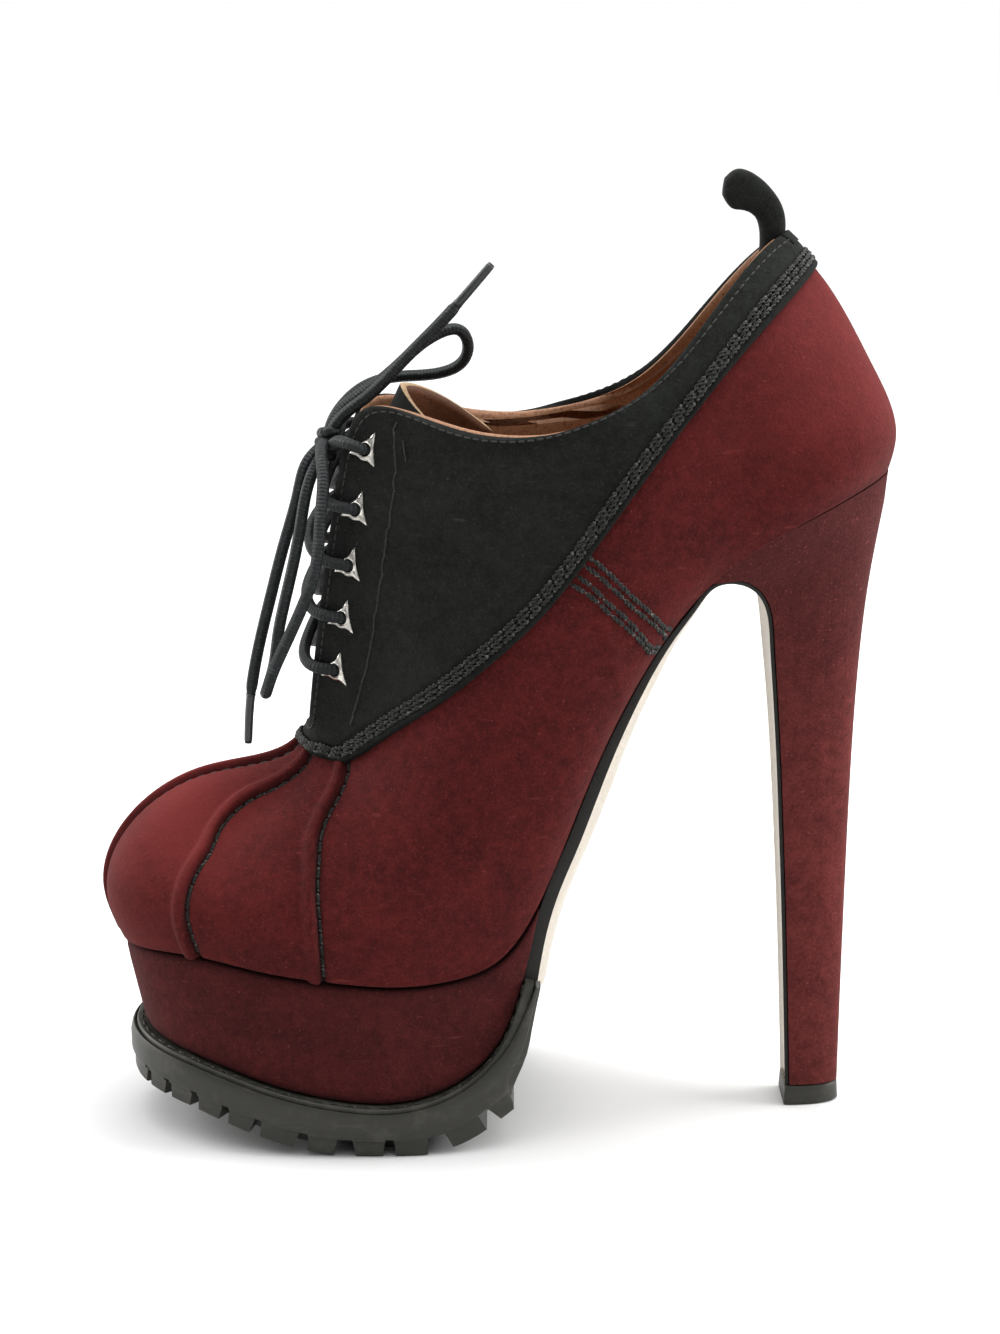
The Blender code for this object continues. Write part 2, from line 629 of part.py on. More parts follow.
def long_grooves():
    """Two grooves along the flat of the tread."""
    frames = []
    along, across, up = np.eye(3)
    length = LONG_GROOVE_TO - LONG_GROOVE_FROM
    for side in (-1, 1):
        middle = np.array([(LONG_GROOVE_FROM + LONG_GROOVE_TO) / 2, side * LONG_GROOVE_Y, 0.0])
        frames.append((middle, along, across, up, length, LONG_GROOVE_WIDTH, LUG_DEPTH - 0.5))
    return gap_cutter("long_grooves", frames)


def heel_path():
    """Side view of the waist sole's upper face, from the platform to the lift, as a curve and its knots."""
    feather = np.vstack([LOOPS["feather"](place(line)) for line in WAIST_LINES])[:, [0, 2]]
    feather += side_normals(feather) * GAP
    rows = np.vstack([[WAIST_START], feather, [(row.front_x, row.front_z) for row in HEEL]])
    knots = chord_knots(rows)
    return cubic_through(knots, rows), knots


def path_rows(first):
    """Rows along the heel path from a row number on: their numbers, points and outward normals."""
    path, knots = heel_path()
    numbers = np.arange(first, len(knots) - 1 + 1e-6, 1 / HEEL_STEPS)
    at = np.interp(numbers, range(len(knots)), knots)
    run = path(at + 0.05) - path(at - 0.05)
    run /= np.linalg.norm(run, axis=1)[:, None]
    return numbers, path(at), np.stack([run[:, 1], -run[:, 0]], axis=1)


def make_waist_sole():
    """Leather with a rounded underside along the waist, skived thin where it turns down the breast."""
    waist = np.array([row[1:] for row in WAIST])
    lines = np.concatenate([[WAIST[0].last_line], WAIST_LINES])
    sizes = [[np.interp(line, waist[:, 0], column) for column in waist.T[1:]] for line in lines]
    sizes += [(row.half - BREAST_INSET, row.half - BREAST_INSET, BREAST_THICK, 0.0) for row in HEEL]
    sizes = np.array(sizes)
    rings = []
    for number, point, normal in zip(*path_rows(0)):
        inner, outer, thick, bulge = [np.interp(number, range(len(sizes)), column) for column in sizes.T]
        section = [(-inner, 0), (-inner, thick), (-inner * 0.6, thick + bulge * 0.7), (0, thick + bulge),
                   (outer * 0.6, thick + bulge * 0.7), (outer, thick), (outer, 0)]
        rings.append([(point[0] + normal[0] * d, y, point[1] + normal[1] * d) for y, d in section])
    loft("waist_sole", rings, SOLE_LEATHER)


def heel_ring(front, back, half):
    """A section with a flat front and a rounded back, from the front of the inner side round the back."""
    front, back = np.array(front), np.array(back)
    middle = front + (back - front) * HEEL_SHARES[:, None]
    width = half * (1 - HEEL_SHARES**HEEL_ROUND) ** (1 / HEEL_ROUND)
    inner = np.stack([middle[:, 0], -width, middle[:, 1]], axis=1)
    return np.vstack([inner, (inner * (1, -1, 1))[-2::-1]])


def make_heel():
    """The seat follows the feather edge round the back of the last, and the shaft tapers down to the lift."""
    lines = np.interp(HEEL_SHARES, [0, 1], [HEEL_SEAT_FRONT, len(LAST) - 1])
    inner = np.vstack([LOOPS["feather"](place(line)) for line in lines])
    outer = np.vstack([LOOPS["feather"](place(line, 1)) for line in lines])
    normals = side_normals(inner[:, [0, 2]])
    for edge in (inner, outer):
        edge[:, [0, 2]] += normals * GAP
    rings = [np.vstack([inner, outer[-2::-1]])]
    rows = np.array([(row.back_x, row.back_z, row.half) for row in HEEL])
    backs = cubic_through(np.arange(len(rows)), rows)
    for number, front, normal in zip(*path_rows(HEEL_FIRST)):
        back_x, back_z, half = backs(number - HEEL_FIRST)[0]
        rings.append(heel_ring(front - normal * GAP, (back_x, back_z), half))
    loft("heel", rings, BURGUNDY_SUEDE)


def make_top_lift():
    """The wear piece under the heel, a little wider where it meets the floor."""
    foot = HEEL[-1]
    rings = []
    for z, grow in ((0.0, LIFT_FLARE), (LIFT_HEIGHT, 0.0)):
        front = foot.front_x - BREAST_THICK - grow
        rings.append(heel_ring((front, z), (foot.back_x + grow, z), foot.half + grow))
    loft("top_lift", rings, BLACK_RUBBER)


def make_tongue():
    """A sheet bent round the instep, with its wings lying back along the facings."""
    rows = np.array([(row.x, row.z, row.half, row.depth, row.wing_drop) for row in TONGUE])
    knots = chord_knots(rows[:, :2])
    curve = cubic_through(knots, rows)
    across = np.linspace(-1, 1, TONGUE_COLUMNS)
    grid = []
    for x, z, half, depth, drop in curve(np.linspace(0, knots[-1], TONGUE_ROWS)):
        back = x + depth * abs(across) ** TONGUE_BEND
        grid.append(np.stack([back, -half * across, z - drop * across**2], axis=1))
    grid_object("tongue", np.array(grid)[::-1], LINING_LEATHER, TONGUE_THICK, -1, closed=False)


def make_pull_loop():
    """The strap's rounded sections, from its foot on the collar's rim to the fold."""
    rows = np.array([(row.x, row.z, row.thick) for row in PULL_LOOP])
    knots = chord_knots(rows[:, :2])
    curve = cubic_through(knots, rows)
    at = np.linspace(0, knots[-1], PULL_SECTIONS)
    run = curve(at + 0.05)[:, :2] - curve(at - 0.05)[:, :2]
    run /= np.linalg.norm(run, axis=1)[:, None]
    turns = math.tau * (np.arange(PULL_CORNERS) + 0.5) / PULL_CORNERS - math.pi / 2
    broad, thin = PULL_SQUARE
    rings = []
    for (x, z, thick), (run_x, run_z) in zip(curve(at), run):
        across = np.sign(np.cos(turns)) * np.abs(np.cos(turns)) ** broad * PULL_LOOP_WIDTH / 2
        away = np.sign(np.sin(turns)) * np.abs(np.sin(turns)) ** thin * thick / 2
        rings.append(np.stack([x - run_z * away, across, z + run_x * away], axis=1))
    loft("pull_loop", rings, BLACK_SUEDE)


def facing_frame(height, side):
    """Point and directions on the facing at this height, in from its edge by the eyelets' inset."""
    low, high = FACING_LINES
    for _ in range(40):
        line = (low + high) / 2
        at = place(line, side)
        seam, edge = wall_points(at, [3, 4])
        level = 4 - EYELET_INSET / np.linalg.norm(edge - seam)
        if wall_points(at, [level])[0][2] < height:
            low = line
        else:
            high = line
    point, _, _, normal = wall_frame(at, level)
    edge_run = LOOPS["edge"](at + 1)[0] - LOOPS["edge"](at - 1)[0]
    up = edge_run * (1 if edge_run[2] > 0 else -1)
    up -= normal * up.dot(normal)
    up /= np.linalg.norm(up)
    return point, np.cross(up, normal), up, normal


def make_eyelet(name, height, side):
    """A triangular plate with a round hole, its point towards the throat."""
    point, along, up, normal = facing_frame(height, side)
    forward = along if along[0] < 0 else -along
    radius = EYELET_SIDE / math.sqrt(3)
    outline = bpy.data.curves.new(name, "CURVE")
    outline.dimensions = "2D"
    outline.fill_mode = "BOTH"
    outline.extrude = EYELET_THICK / 2 * MM
    rim = [(radius * math.cos(a) * MM, radius * math.sin(a) * MM) for a in (0, math.tau / 3, 2 * math.tau / 3)]
    turns = [math.tau * i / EYELET_HOLE_POINTS for i in range(EYELET_HOLE_POINTS)]
    hole = [(EYELET_HOLE / 2 * math.cos(a) * MM, EYELET_HOLE / 2 * math.sin(a) * MM) for a in turns]
    for points in (rim, hole):
        spline = outline.splines.new("POLY")
        spline.points.add(len(points) - 1)
        spline.use_cyclic_u = True
        for knot, (x, y) in zip(spline.points, points):
            knot.co = (x, y, 0, 1)
    outline.materials.append(finish(name, *EYELET_STEEL))
    obj = bpy.data.objects.new(name, outline)
    PARTS.objects.link(obj)
    lift = EYELET_LIFT + EYELET_THICK / 2
    away = np.cross(normal, forward)
    frame = Matrix.Identity(4)
    for column, axis in enumerate((forward, away, normal)):
        frame.col[column] = (*axis, 0)
    frame.translation = Vector((point + normal * lift + MIDDLE) * MM)
    obj.matrix_world = frame


def tube(name, route):
    """A cord along a smooth curve through hand-laid points, with filled ends."""
    route = np.array(route, float)
    knots = chord_knots(route)
    count = round(knots[-1] / LACE_POINT_STEP) + 1
    points = cubic_through(knots, route)(np.linspace(0, knots[-1], count))
    curve = bpy.data.curves.new(name, "CURVE")
    curve.dimensions = "3D"
    curve.bevel_depth = LACE / 2 * MM
    curve.bevel_resolution = 2
    curve.use_fill_caps = True
    spline = curve.splines.new("POLY")
    spline.points.add(count - 1)
    for knot, point in zip(spline.points, (points + MIDDLE) * MM):
        knot.co = (*point, 1)
    curve.materials.append(finish(name, *WAXED_CORD))
    obj = bpy.data.objects.new(name, curve)
    PARTS.objects.link(obj)
    return obj


def as_mesh(obj):
    """The same cord as a mesh object with its caps welded, which a Boolean can join."""
    bpy.context.view_layer.update()
    graph = bpy.context.evaluated_depsgraph_get()
    mesh = bpy.data.meshes.new_from_object(obj.evaluated_get(graph))
    welded = bmesh.new()
    welded.from_mesh(mesh)
    bmesh.ops.remove_doubles(welded, verts=welded.verts, dist=1e-6)
    welded.to_mesh(mesh)
    welded.free()
    made = bpy.data.objects.new(obj.name + "_mesh", mesh)
    made.matrix_world = obj.matrix_world
    bpy.data.objects.remove(obj, do_unlink=True)
    return made


def lace_strand(name, low, high, side):
    """One strand from the eyelet at a lower height across the throat to the other facing, higher up."""
    start, _, _, normal = facing_frame(low, side)
    stop, _, _, stop_normal = facing_frame(high, -side)
    from_hole = start + normal * LACE_LIFT
    to_hole = stop + stop_normal * LACE_LIFT
    middle = (from_hole + to_hole) / 2
    middle[0] = min(from_hole[0], to_hole[0]) - CROSS_REACH
    shoulder = from_hole + CROSS_SHOULDER * (1, side, 1)
    landing = to_hole + CROSS_SHOULDER * (1, -side, -1)
    return tube(name, (from_hole, shoulder, middle, landing, to_hole))


def make_lace():
    """Each crossing is two strands joined where they meet; knot, loops and ends lie free."""
    for number, (low, high) in enumerate(zip(EYELET_HEIGHTS, EYELET_HEIGHTS[1:]), start=1):
        name = f"lace_cross_{number}"
        low, high = low + CROSS_SPREAD, high - CROSS_SPREAD
        crossing, other = [as_mesh(lace_strand(f"{name}_{side}", low, high, side)) for side in (-1, 1)]
        crossing.name = name
        PARTS.objects.link(crossing)
        CUTTERS.objects.link(other)
        other.display_type = "WIRE"
        other.hide_render = True
        join = crossing.modifiers.new("join", "BOOLEAN")
        join.operation = "UNION"
        join.solver = "EXACT"
        join.object = other
    knot = bpy.data.meshes.new("lace_knot")
    ball = bmesh.new()
    bmesh.ops.create_uvsphere(ball, u_segments=14, v_segments=8, radius=MM)
    bmesh.ops.scale(ball, vec=KNOT_HALF, verts=ball.verts)
    ball.to_mesh(knot)
    ball.free()
    knot.shade_smooth()
    knot.materials.append(finish("lace_knot", *WAXED_CORD))
    obj = bpy.data.objects.new("lace_knot", knot)
    obj.location = (np.array(KNOT_AT) + MIDDLE) * MM
    PARTS.objects.link(obj)
    for name, route in LACE_ROUTES.items():
        tube(name, route)


make_upper()
make_insole()
make_platform()
make_welt()
make_outsole()
make_waist_sole()
make_heel()
make_top_lift()
make_tongue()
make_pull_loop()
for number, height in enumerate(EYELET_HEIGHTS, start=1):
    make_eyelet(f"eyelet_inner_{number}", height, -1)
    make_eyelet(f"eyelet_outer_{number}", height, 1)
make_lace()
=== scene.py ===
"""Looks of a lace-up platform ankle boot for the right foot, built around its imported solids.

Toe towards -X, inner side towards -Y, floor at z = 0. Sizes, tables and routes are in millimetres on the
last's own middle line, and the meshes are written in metres in the frame of the solids.
"""

import itertools
import math
from collections import namedtuple

import bmesh
import bpy
import numpy as np
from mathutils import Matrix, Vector


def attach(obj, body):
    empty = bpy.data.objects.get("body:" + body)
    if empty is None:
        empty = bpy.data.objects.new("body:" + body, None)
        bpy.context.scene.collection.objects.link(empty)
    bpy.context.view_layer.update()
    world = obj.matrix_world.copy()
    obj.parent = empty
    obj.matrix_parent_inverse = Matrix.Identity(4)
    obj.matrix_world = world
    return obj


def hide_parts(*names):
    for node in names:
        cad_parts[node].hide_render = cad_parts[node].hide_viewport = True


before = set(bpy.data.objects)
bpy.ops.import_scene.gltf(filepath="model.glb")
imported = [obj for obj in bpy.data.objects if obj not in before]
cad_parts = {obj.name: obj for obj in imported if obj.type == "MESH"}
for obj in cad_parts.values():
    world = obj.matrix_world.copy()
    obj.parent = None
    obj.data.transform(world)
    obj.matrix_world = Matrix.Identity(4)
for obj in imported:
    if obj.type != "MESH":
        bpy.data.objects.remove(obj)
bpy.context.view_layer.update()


# Vamp and counter: burgundy suede, pulled wet over a last and cemented under at its feather edge.
# Five pin tucks run out from the throat over the toe. Each is a fold of the suede, sewn down on its rear side
# with a row of thick waxed thread.
MM = 0.001
MIDDLE = np.array([-0.2, -1.1, 0.0])
TOE_SWING, SWING_FROM, SWING_LENGTH = 4.0, -35.0, 65.0
Line = namedtuple("Line", "name feather belly crown seam edge wider lower")
LAST = (
    Line("toe_tip", (-96.3, 0, 48.5), (-100, 0, 61), (-76, 0, 90), (-49.8, 0, 98.6),
         (-46, 0, 103.8), 0, 0),
    Line("toe_corner", (-90.2, 19.5, 49.6), (-94.2, 22.5, 62.5), (-73.5, 12, 88.3),
         (-48.6, 5, 98.1), (-45.9, 2.5, 104), -1, 0),
    Line("toe_side", (-74, 31, 50.2), (-76.5, 34.5, 64.5), (-67, 22.5, 81),
         (-45.3, 10.5, 97.2), (-45.8, 5, 104.8), -1.5, 0),
    Line("vamp_side", (-57.5, 36.3, 47.6), (-58.5, 40, 63), (-54.5, 28.5, 81.5),
         (-41.2, 14, 97), (-45.8, 7.3, 106.8), -0.5, 0),
    Line("forefoot", (-41, 38, 45.3), (-41.5, 42, 62), (-41.5, 31.5, 81.5),
         (-36.6, 17.5, 97.5), (-45.7, 9, 110.5), 1.5, 0),
    Line("ball", (-25, 38, 44), (-25.5, 42, 61.5), (-27.5, 34.5, 85), (-26.5, 24.5, 105.5),
         (-44.3, 10.5, 124), 3.5, 0),
    Line("tread", (-10, 36, 45), (-10, 40, 63.5), (-12, 38, 91), (-12, 32.5, 117),
         (-41.3, 11.5, 147), 4.5, 0),
    Line("ball_rear", (3, 33.5, 50.5), (4.5, 37.5, 70), (2, 38, 99.5), (0, 35.5, 127.5),
         (-37.5, 12, 171), 4, 0),
    Line("waist_low", (13, 30, 66), (16, 35, 86), (14.5, 37.5, 113), (11.5, 36, 138.5),
         (-31.5, 13, 186.5), 3.5, 1),
    Line("waist_mid", (24, 25.5, 93), (27.5, 32, 109), (28, 36, 133), (26, 34.5, 157),
         (-11, 22, 183.7), 3.5, 1.5),
    Line("waist_high", (38, 23, 122), (41.5, 30, 134.5), (42, 33.5, 155), (40.5, 32, 177),
         (14, 28.7, 182.8), 3, 2),
    Line("heel_front", (54.5, 23.5, 144.5), (57.5, 29, 155), (57, 31, 174.5), (54.5, 28.5, 195),
         (37, 27, 192.3), 2, 3.5),
    Line("heel_side", (74, 25, 158.5), (77.5, 29, 170.5), (74.5, 27, 190), (67.5, 21, 209),
         (54.5, 18.5, 212), 0.5, 3.5),
    Line("heel_corner", (91.5, 17, 166.8), (95, 19.5, 177), (90.3, 15.5, 195.5), (76.6, 10, 217.3),
         (67, 7.8, 225.5), 0, 1.5),
    Line("heel_back", (100, 0, 170), (101.6, 0, 178.5), (95.3, 0, 196), (80, 0, 220.4),
         (72, 0, 228.2), 0, 0),
)
FEATHER, BELLY, CROWN, SEAM, EDGE = range(5)
OUTER_WIDER = (1.0, 1.0, 0.7, 0.4, 0.0)
OUTER_LOWER = (0.0, 0.0, 0.0, 0.4, 1.0)


def cubic_through(knots, values, closed=False):
    """The smooth cubic curve through values at knots, as a function. A closed one ends on its first value."""
    knots = np.asarray(knots, float)
    values = np.asarray(values, float)
    count = len(knots)
    steps = np.diff(knots)
    slopes = np.diff(values, axis=0) / steps[:, None]
    system = np.eye(count)
    right = np.zeros_like(values)
    for i in range(1, count - 1):
        system[i, i - 1:i + 2] = steps[i - 1], 2 * (steps[i - 1] + steps[i]), steps[i]
        right[i] = 6 * (slopes[i] - slopes[i - 1])
    if closed:
        system[0, :2] = 2 * (steps[-1] + steps[0]), steps[0]
        system[0, -2] = steps[-1]
        right[0] = 6 * (slopes[0] - slopes[-1])
        system[-1, 0] = -1
    bends = np.linalg.solve(system, right)

    def curve(at):
        at = np.atleast_1d(np.asarray(at, float))
        if closed:
            at = knots[0] + (at - knots[0]) % (knots[-1] - knots[0])
        i = np.clip(np.searchsorted(knots, at, side="right") - 1, 0, count - 2)
        step = steps[i][:, None]
        after = ((at - knots[i])[:, None]) / step
        before = 1 - after
        bent = (before**3 - before) * bends[i] + (after**3 - after) * bends[i + 1]
        return before * values[i] + after * values[i + 1] + bent * step**2 / 6

    return curve


def running_length(points):
    """Length along a line of points, from 0."""
    return np.concatenate([[0], np.cumsum(np.linalg.norm(np.diff(points, axis=0), axis=1))])


def swung(points):
    """Points with the fore part bent towards the inner side, as the foot's own curve."""
    points = np.array(points, float)
    share = np.clip((SWING_FROM - points[:, 0]) / SWING_LENGTH, 0, 1.2)
    points[:, 1] -= TOE_SWING * share**2
    return points


def last_loop(level):
    """Points of one level right round the last: inner side, heel back, outer side, toe tip again."""
    inner = []
    outer = []
    for line in LAST:
        along, half, height = line[1 + level]
        inner.append((along, -half, height))
        wide = half + line.wider * OUTER_WIDER[level] if half else 0
        outer.append((along, wide, height - line.lower * OUTER_LOWER[level]))
    return swung(inner + outer[-2::-1])


HALF_ROUND = np.mean([running_length(last_loop(level)[:len(LAST)]) for level in range(5)], axis=0)
KNOTS = np.concatenate([HALF_ROUND, 2 * HALF_ROUND[-1] - HALF_ROUND[-2::-1]])
ROUND = KNOTS[-1]
LOOPS = [cubic_through(KNOTS, last_loop(level), closed=True) for level in range(5)]


def place(line, side=-1):
    """Place round the last of a line number, which may be a fraction: side -1 is the inner side."""
    knot = np.interp(line, np.arange(len(LAST)), HALF_ROUND)
    return knot if side < 0 else ROUND - knot


def on_wall(at, level):
    """Points of the outside of the upper, by place round the last and level up the wall."""
    at, level = np.broadcast_arrays(np.asarray(at, float), np.asarray(level, float))
    shape = at.shape
    at, level = at.ravel(), level.ravel()
    rows = np.arange(len(at))
    controls = np.stack([loop(at) for loop in LOOPS], axis=1)
    runs = np.diff(controls, axis=1)
    steps = np.linalg.norm(runs, axis=2)
    slopes = runs / steps[..., None]
    system = np.tile(np.eye(5), (len(at), 1, 1))
    right = np.zeros_like(controls)
    for i in (BELLY, CROWN, SEAM):
        system[:, i, i - 1] = steps[:, i - 1]
        system[:, i, i] = 2 * (steps[:, i - 1] + steps[:, i])
        system[:, i, i + 1] = steps[:, i]
        right[:, i] = 6 * (slopes[:, i] - slopes[:, i - 1])
    bends = np.linalg.solve(system, right)
    i = np.clip(np.floor(level), 0, 3).astype(int)
    after = (level - i)[:, None]
    before = 1 - after
    bent = (before**3 - before) * bends[rows, i] + (after**3 - after) * bends[rows, i + 1]
    straight = before * controls[rows, i] + after * controls[rows, i + 1]
    return (straight + bent * steps[rows, i, None] ** 2 / 6).reshape(*shape, 3)


def unit(vectors):
    """Vectors of length 1."""
    return vectors / np.linalg.norm(vectors, axis=-1, keepdims=True)


LEVEL_STEP, PLACE_STEP = 0.03, 0.5


def wall_up(at, level):
    """Directions up the wall."""
    level = np.clip(level, LEVEL_STEP, EDGE - LEVEL_STEP)
    return unit(on_wall(at, level + LEVEL_STEP) - on_wall(at, level - LEVEL_STEP))


def wall_along(at, level):
    """Steps along the wall from just before to just behind these places."""
    return on_wall(at + PLACE_STEP, level) - on_wall(at - PLACE_STEP, level)


def wall_normal(at, level):
    """Directions out of the wall."""
    level = np.clip(level, LEVEL_STEP, EDGE - LEVEL_STEP)
    return unit(np.cross(wall_along(at, level), wall_up(at, level)))


def wall_pace(at, level):
    """Millimetres along the wall for each step of place."""
    return np.linalg.norm(wall_along(at, level), axis=-1)


def add_piece(name, points, faces, finishes, crease_angle=None):
    """A smooth mesh object from points in millimetres."""
    mesh = bpy.data.meshes.new(name)
    corners = (np.asarray(points) + MIDDLE) * MM
    mesh.from_pydata(corners.tolist(), [], [tuple(map(int, face)) for face in faces])
    mesh.shade_smooth()
    if crease_angle:
        mesh.set_sharp_from_angle(angle=math.radians(crease_angle))
    for finish in finishes:
        mesh.materials.append(finish)
    piece = bpy.data.objects.new(name, mesh)
    bpy.context.scene.collection.objects.link(piece)
    return piece


def grid_faces(rows, columns, closed=False):
    """Faces of a grid of points, which face out where rows climb and columns run from toe to heel."""
    wide = columns if closed else columns - 1
    row, column = np.mgrid[0:rows - 1, 0:wide]
    low = row * columns
    beside = (column + 1) % columns
    corners = (low + column, low + beside, low + columns + beside, low + columns + column)
    return np.stack([corner.ravel() for corner in corners], axis=1)


def fit(piece, slot, *nodes):
    """Fixes a piece to the boot and hides the solids that it stands for. Its slot is not used."""
    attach(piece, "root")
    if nodes:
        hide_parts(*nodes)
    return piece


def note(piece, name, values):
    """Keeps one number for each point of a piece, which its finish reads by this name."""
    attribute = piece.data.attributes.new(name, "FLOAT", "POINT")
    attribute.data.foreach_set("value", np.asarray(values, np.float32).ravel())


def new_finish(name):
    """A material, its node tree and its shader."""
    material = bpy.data.materials.new(name)
    material.use_nodes = True
    return material, material.node_tree, material.node_tree.nodes["Principled BSDF"]


def feed(tree, node, **inputs):
    """Gives a node's inputs numbers, colours or other nodes' outputs."""
    for key, value in inputs.items():
        socket = node.inputs[int(key[1:])] if key[0] == "_" else node.inputs[key.replace("_", " ")]
        if isinstance(value, bpy.types.NodeSocket):
            tree.links.new(value, socket)
        else:
            socket.default_value = (*value, 1.0) if socket.type == "RGBA" else value


def add_node(tree, kind, settings=(), **inputs):
    """A node with its settings and inputs."""
    node = tree.nodes.new("ShaderNode" + kind)
    for key, value in dict(settings).items():
        setattr(node, key, value)
    feed(tree, node, **inputs)
    return node


def cloud(tree, scale, detail=3.0, rough=0.55, stretch=None):
    """Soft noise over the piece, as a number about 0.5."""
    where = add_node(tree, "TexCoord").outputs["Object"]
    if stretch:
        where = add_node(tree, "Mapping", Vector=where, Scale=stretch).outputs["Vector"]
    noise = add_node(tree, "TexNoise", Vector=where, Scale=scale, Detail=detail, Roughness=rough)
    return noise.outputs[0]


def ranged(tree, value, low, high, to_low=0.0, to_high=1.0):
    """A number moved from one range to another, and held within it."""
    node = add_node(tree, "MapRange", _0=value, _1=low, _2=high, _3=to_low, _4=to_high)
    return node.outputs["Result"]


def sums(tree, operation, first, second=0.0):
    """Two numbers added, multiplied or otherwise worked together, or one number worked on alone."""
    return add_node(tree, "Math", {"operation": operation}, _0=first, _1=second).outputs["Value"]


def tinted(tree, share, first, second):
    """One colour going over into another by a share."""
    node = add_node(tree, "Mix", {"data_type": "RGBA"}, Factor=share, A=first, B=second)
    return node.outputs["Result"]


def noted(tree, name):
    """The number that a piece keeps for each point under this name."""
    return add_node(tree, "Attribute", {"attribute_name": name}).outputs["Fac"]


def embossed(tree, shader, *layers):
    """Bumps laid one on another: (height, strength, depth in millimetres)."""
    below = None
    for height, strength, depth in layers:
        bump = add_node(tree, "Bump", Height=height, Strength=strength, Distance=depth * MM)
        if below:
            tree.links.new(below, bump.inputs["Normal"])
        below = bump.outputs["Normal"]
    tree.links.new(below, shader.inputs["Normal"])


def suede(name, lit, shaded, dark, rubbed_and_lit):
    """Brushed suede: strokes of lit and shaded nap, paler with wear and painted light where the piece notes
    them, dark with painted shade in its seams and folds, flecked.
    """
    material, tree, skin = new_finish(name)
    strokes = cloud(tree, 55, 4, 0.6, stretch=(1.0, 1.0, 1.5))
    brushed = cloud(tree, 360, 4, 0.65)
    fibres = cloud(tree, 1150, 3, 0.7)
    tone = sums(tree, "MULTIPLY", strokes, 0.48)
    for layer, weight in ((brushed, 0.6), (fibres, 0.62)):
        tone = sums(tree, "ADD", tone, sums(tree, "MULTIPLY", layer, weight))
    nap = tinted(tree, ranged(tree, tone, 0.67, 1.04), shaded, lit)
    # Paler with wear and painted light where the piece notes them, then dark with painted shade in seams and
    # folds.
    nap = tinted(tree, noted(tree, "rubbed_and_lit"), nap, rubbed_and_lit)
    nap = tinted(tree, noted(tree, "seam_shade"), nap, dark)
    flecks = ranged(tree, cloud(tree, 1900, 2, 0.6), 0.6, 0.7, 0, 0.3)
    specks = ranged(tree, cloud(tree, 1000, 1, 0.4), 0.72, 0.78, 0, 0.4)
    scratches = ranged(tree, cloud(tree, 230, 2, 0.5, stretch=(0.3, 1.0, 2.2)), 0.71, 0.78, 0, 0.35)
    marks = sums(tree, "MAXIMUM", flecks, sums(tree, "MAXIMUM", specks, scratches))
    fleck_colour = tuple(1.9 * c + 0.016 for c in lit)
    sheen_colour = tuple(3.5 * c + 0.1 for c in lit)
    feed(tree, skin, Base_Color=tinted(tree, marks, nap, fleck_colour), Roughness=0.95,
         Specular_IOR_Level=0.15, Sheen_Weight=0.04, Sheen_Roughness=0.5, Sheen_Tint=sheen_colour)
    embossed(tree, skin, (strokes, 0.2, 1.2), (brushed, 0.4, 0.45), (fibres, 0.7, 0.25))
    return material


BURGUNDY = suede("burgundy_suede", (0.082, 0.0089, 0.0084), (0.033, 0.0034, 0.0032), (0.006, 0.002, 0.002),
                 (0.122, 0.0156, 0.0144))

Tuck = namedtuple("Tuck", "low_line high_line side rear")
TUCKS = (Tuck(0, 0, -1, 1), Tuck(1.92, 1.43, -1, 1), Tuck(3.8, 3.64, -1, 1), Tuck(3.8, 3.64, 1, -1),
         Tuck(1.92, 1.43, 1, -1))
TUCK_SWAY_FROM, TUCK_SWAY = 1.65, 0.75
TUCK_HEIGHT, TUCK_FRONT, TUCK_REAR = 1.5, 1.75, 1.4
FRONT_ROUND, REAR_ROUND, FAR_FROM_TUCK = 3.5, 5, 99.0
TUCK_GROOVE, GROOVE_AT, GROOVE_HALF = 1.2, 1.95, 0.62
TUCK_END, TUCK_FADE = 3.12, 0.12
TUCK_OFFSETS = np.array([-4.8, -4, -3.3, -2.7, -2.1, -1.5, -0.9, -0.4, 0.1, 0.5, 0.85, 1.1, 1.3, 1.5, 1.7,
                         1.9, 2.1, 2.35, 2.7, 3.1, 3.6])
COLUMNS_BETWEEN = (14, 14, 210, 14, 14)
SLOWEST_PACE = 0.45
SUEDE_TOP, FEATHER_LEVEL, FEATHER_ROLL = 3.2, 0.07, 1.0
FEATHER_TURNS = np.radians([110, 85, 60, 40, 20])
SUEDE_LEVELS = np.append([FEATHER_LEVEL] * len(FEATHER_TURNS), np.linspace(FEATHER_LEVEL, SUEDE_TOP, 64))


def tuck_place(tuck, level):
    """Place round the last of a tuck's middle, which sways forward towards the throat."""
    share = np.clip((level - TUCK_SWAY_FROM) / TUCK_SWAY, 0, 1)
    share = share * share * (3 - 2 * share)
    return place(tuck.low_line + (tuck.high_line - tuck.low_line) * share, tuck.side) % ROUND


def suede_columns(level):
    """One row of the suede: places round the last, and how far each lies behind its tuck's middle."""
    spots = np.array([tuck_place(tuck, level) for tuck in TUCKS])
    paces = np.maximum(wall_pace(spots, level), SLOWEST_PACE)
    offsets = [TUCK_OFFSETS[::tuck.rear] * tuck.rear / pace for tuck, pace in zip(TUCKS, paces)]
    places = []
    behind = []
    for i, tuck in enumerate(TUCKS):
        places.append(spots[i] + offsets[i])
        behind.append(offsets[i] * paces[i] * tuck.rear)
        after = (i + 1) % len(TUCKS)
        stop = spots[after] + (ROUND if after == 0 else 0) + offsets[after][0]
        between = np.linspace(spots[i] + offsets[i][-1], stop, COLUMNS_BETWEEN[i] + 2)[1:-1]
        places.append(between)
        behind.append(np.full(len(between), FAR_FROM_TUCK))
    return np.concatenate(places), np.concatenate(behind)


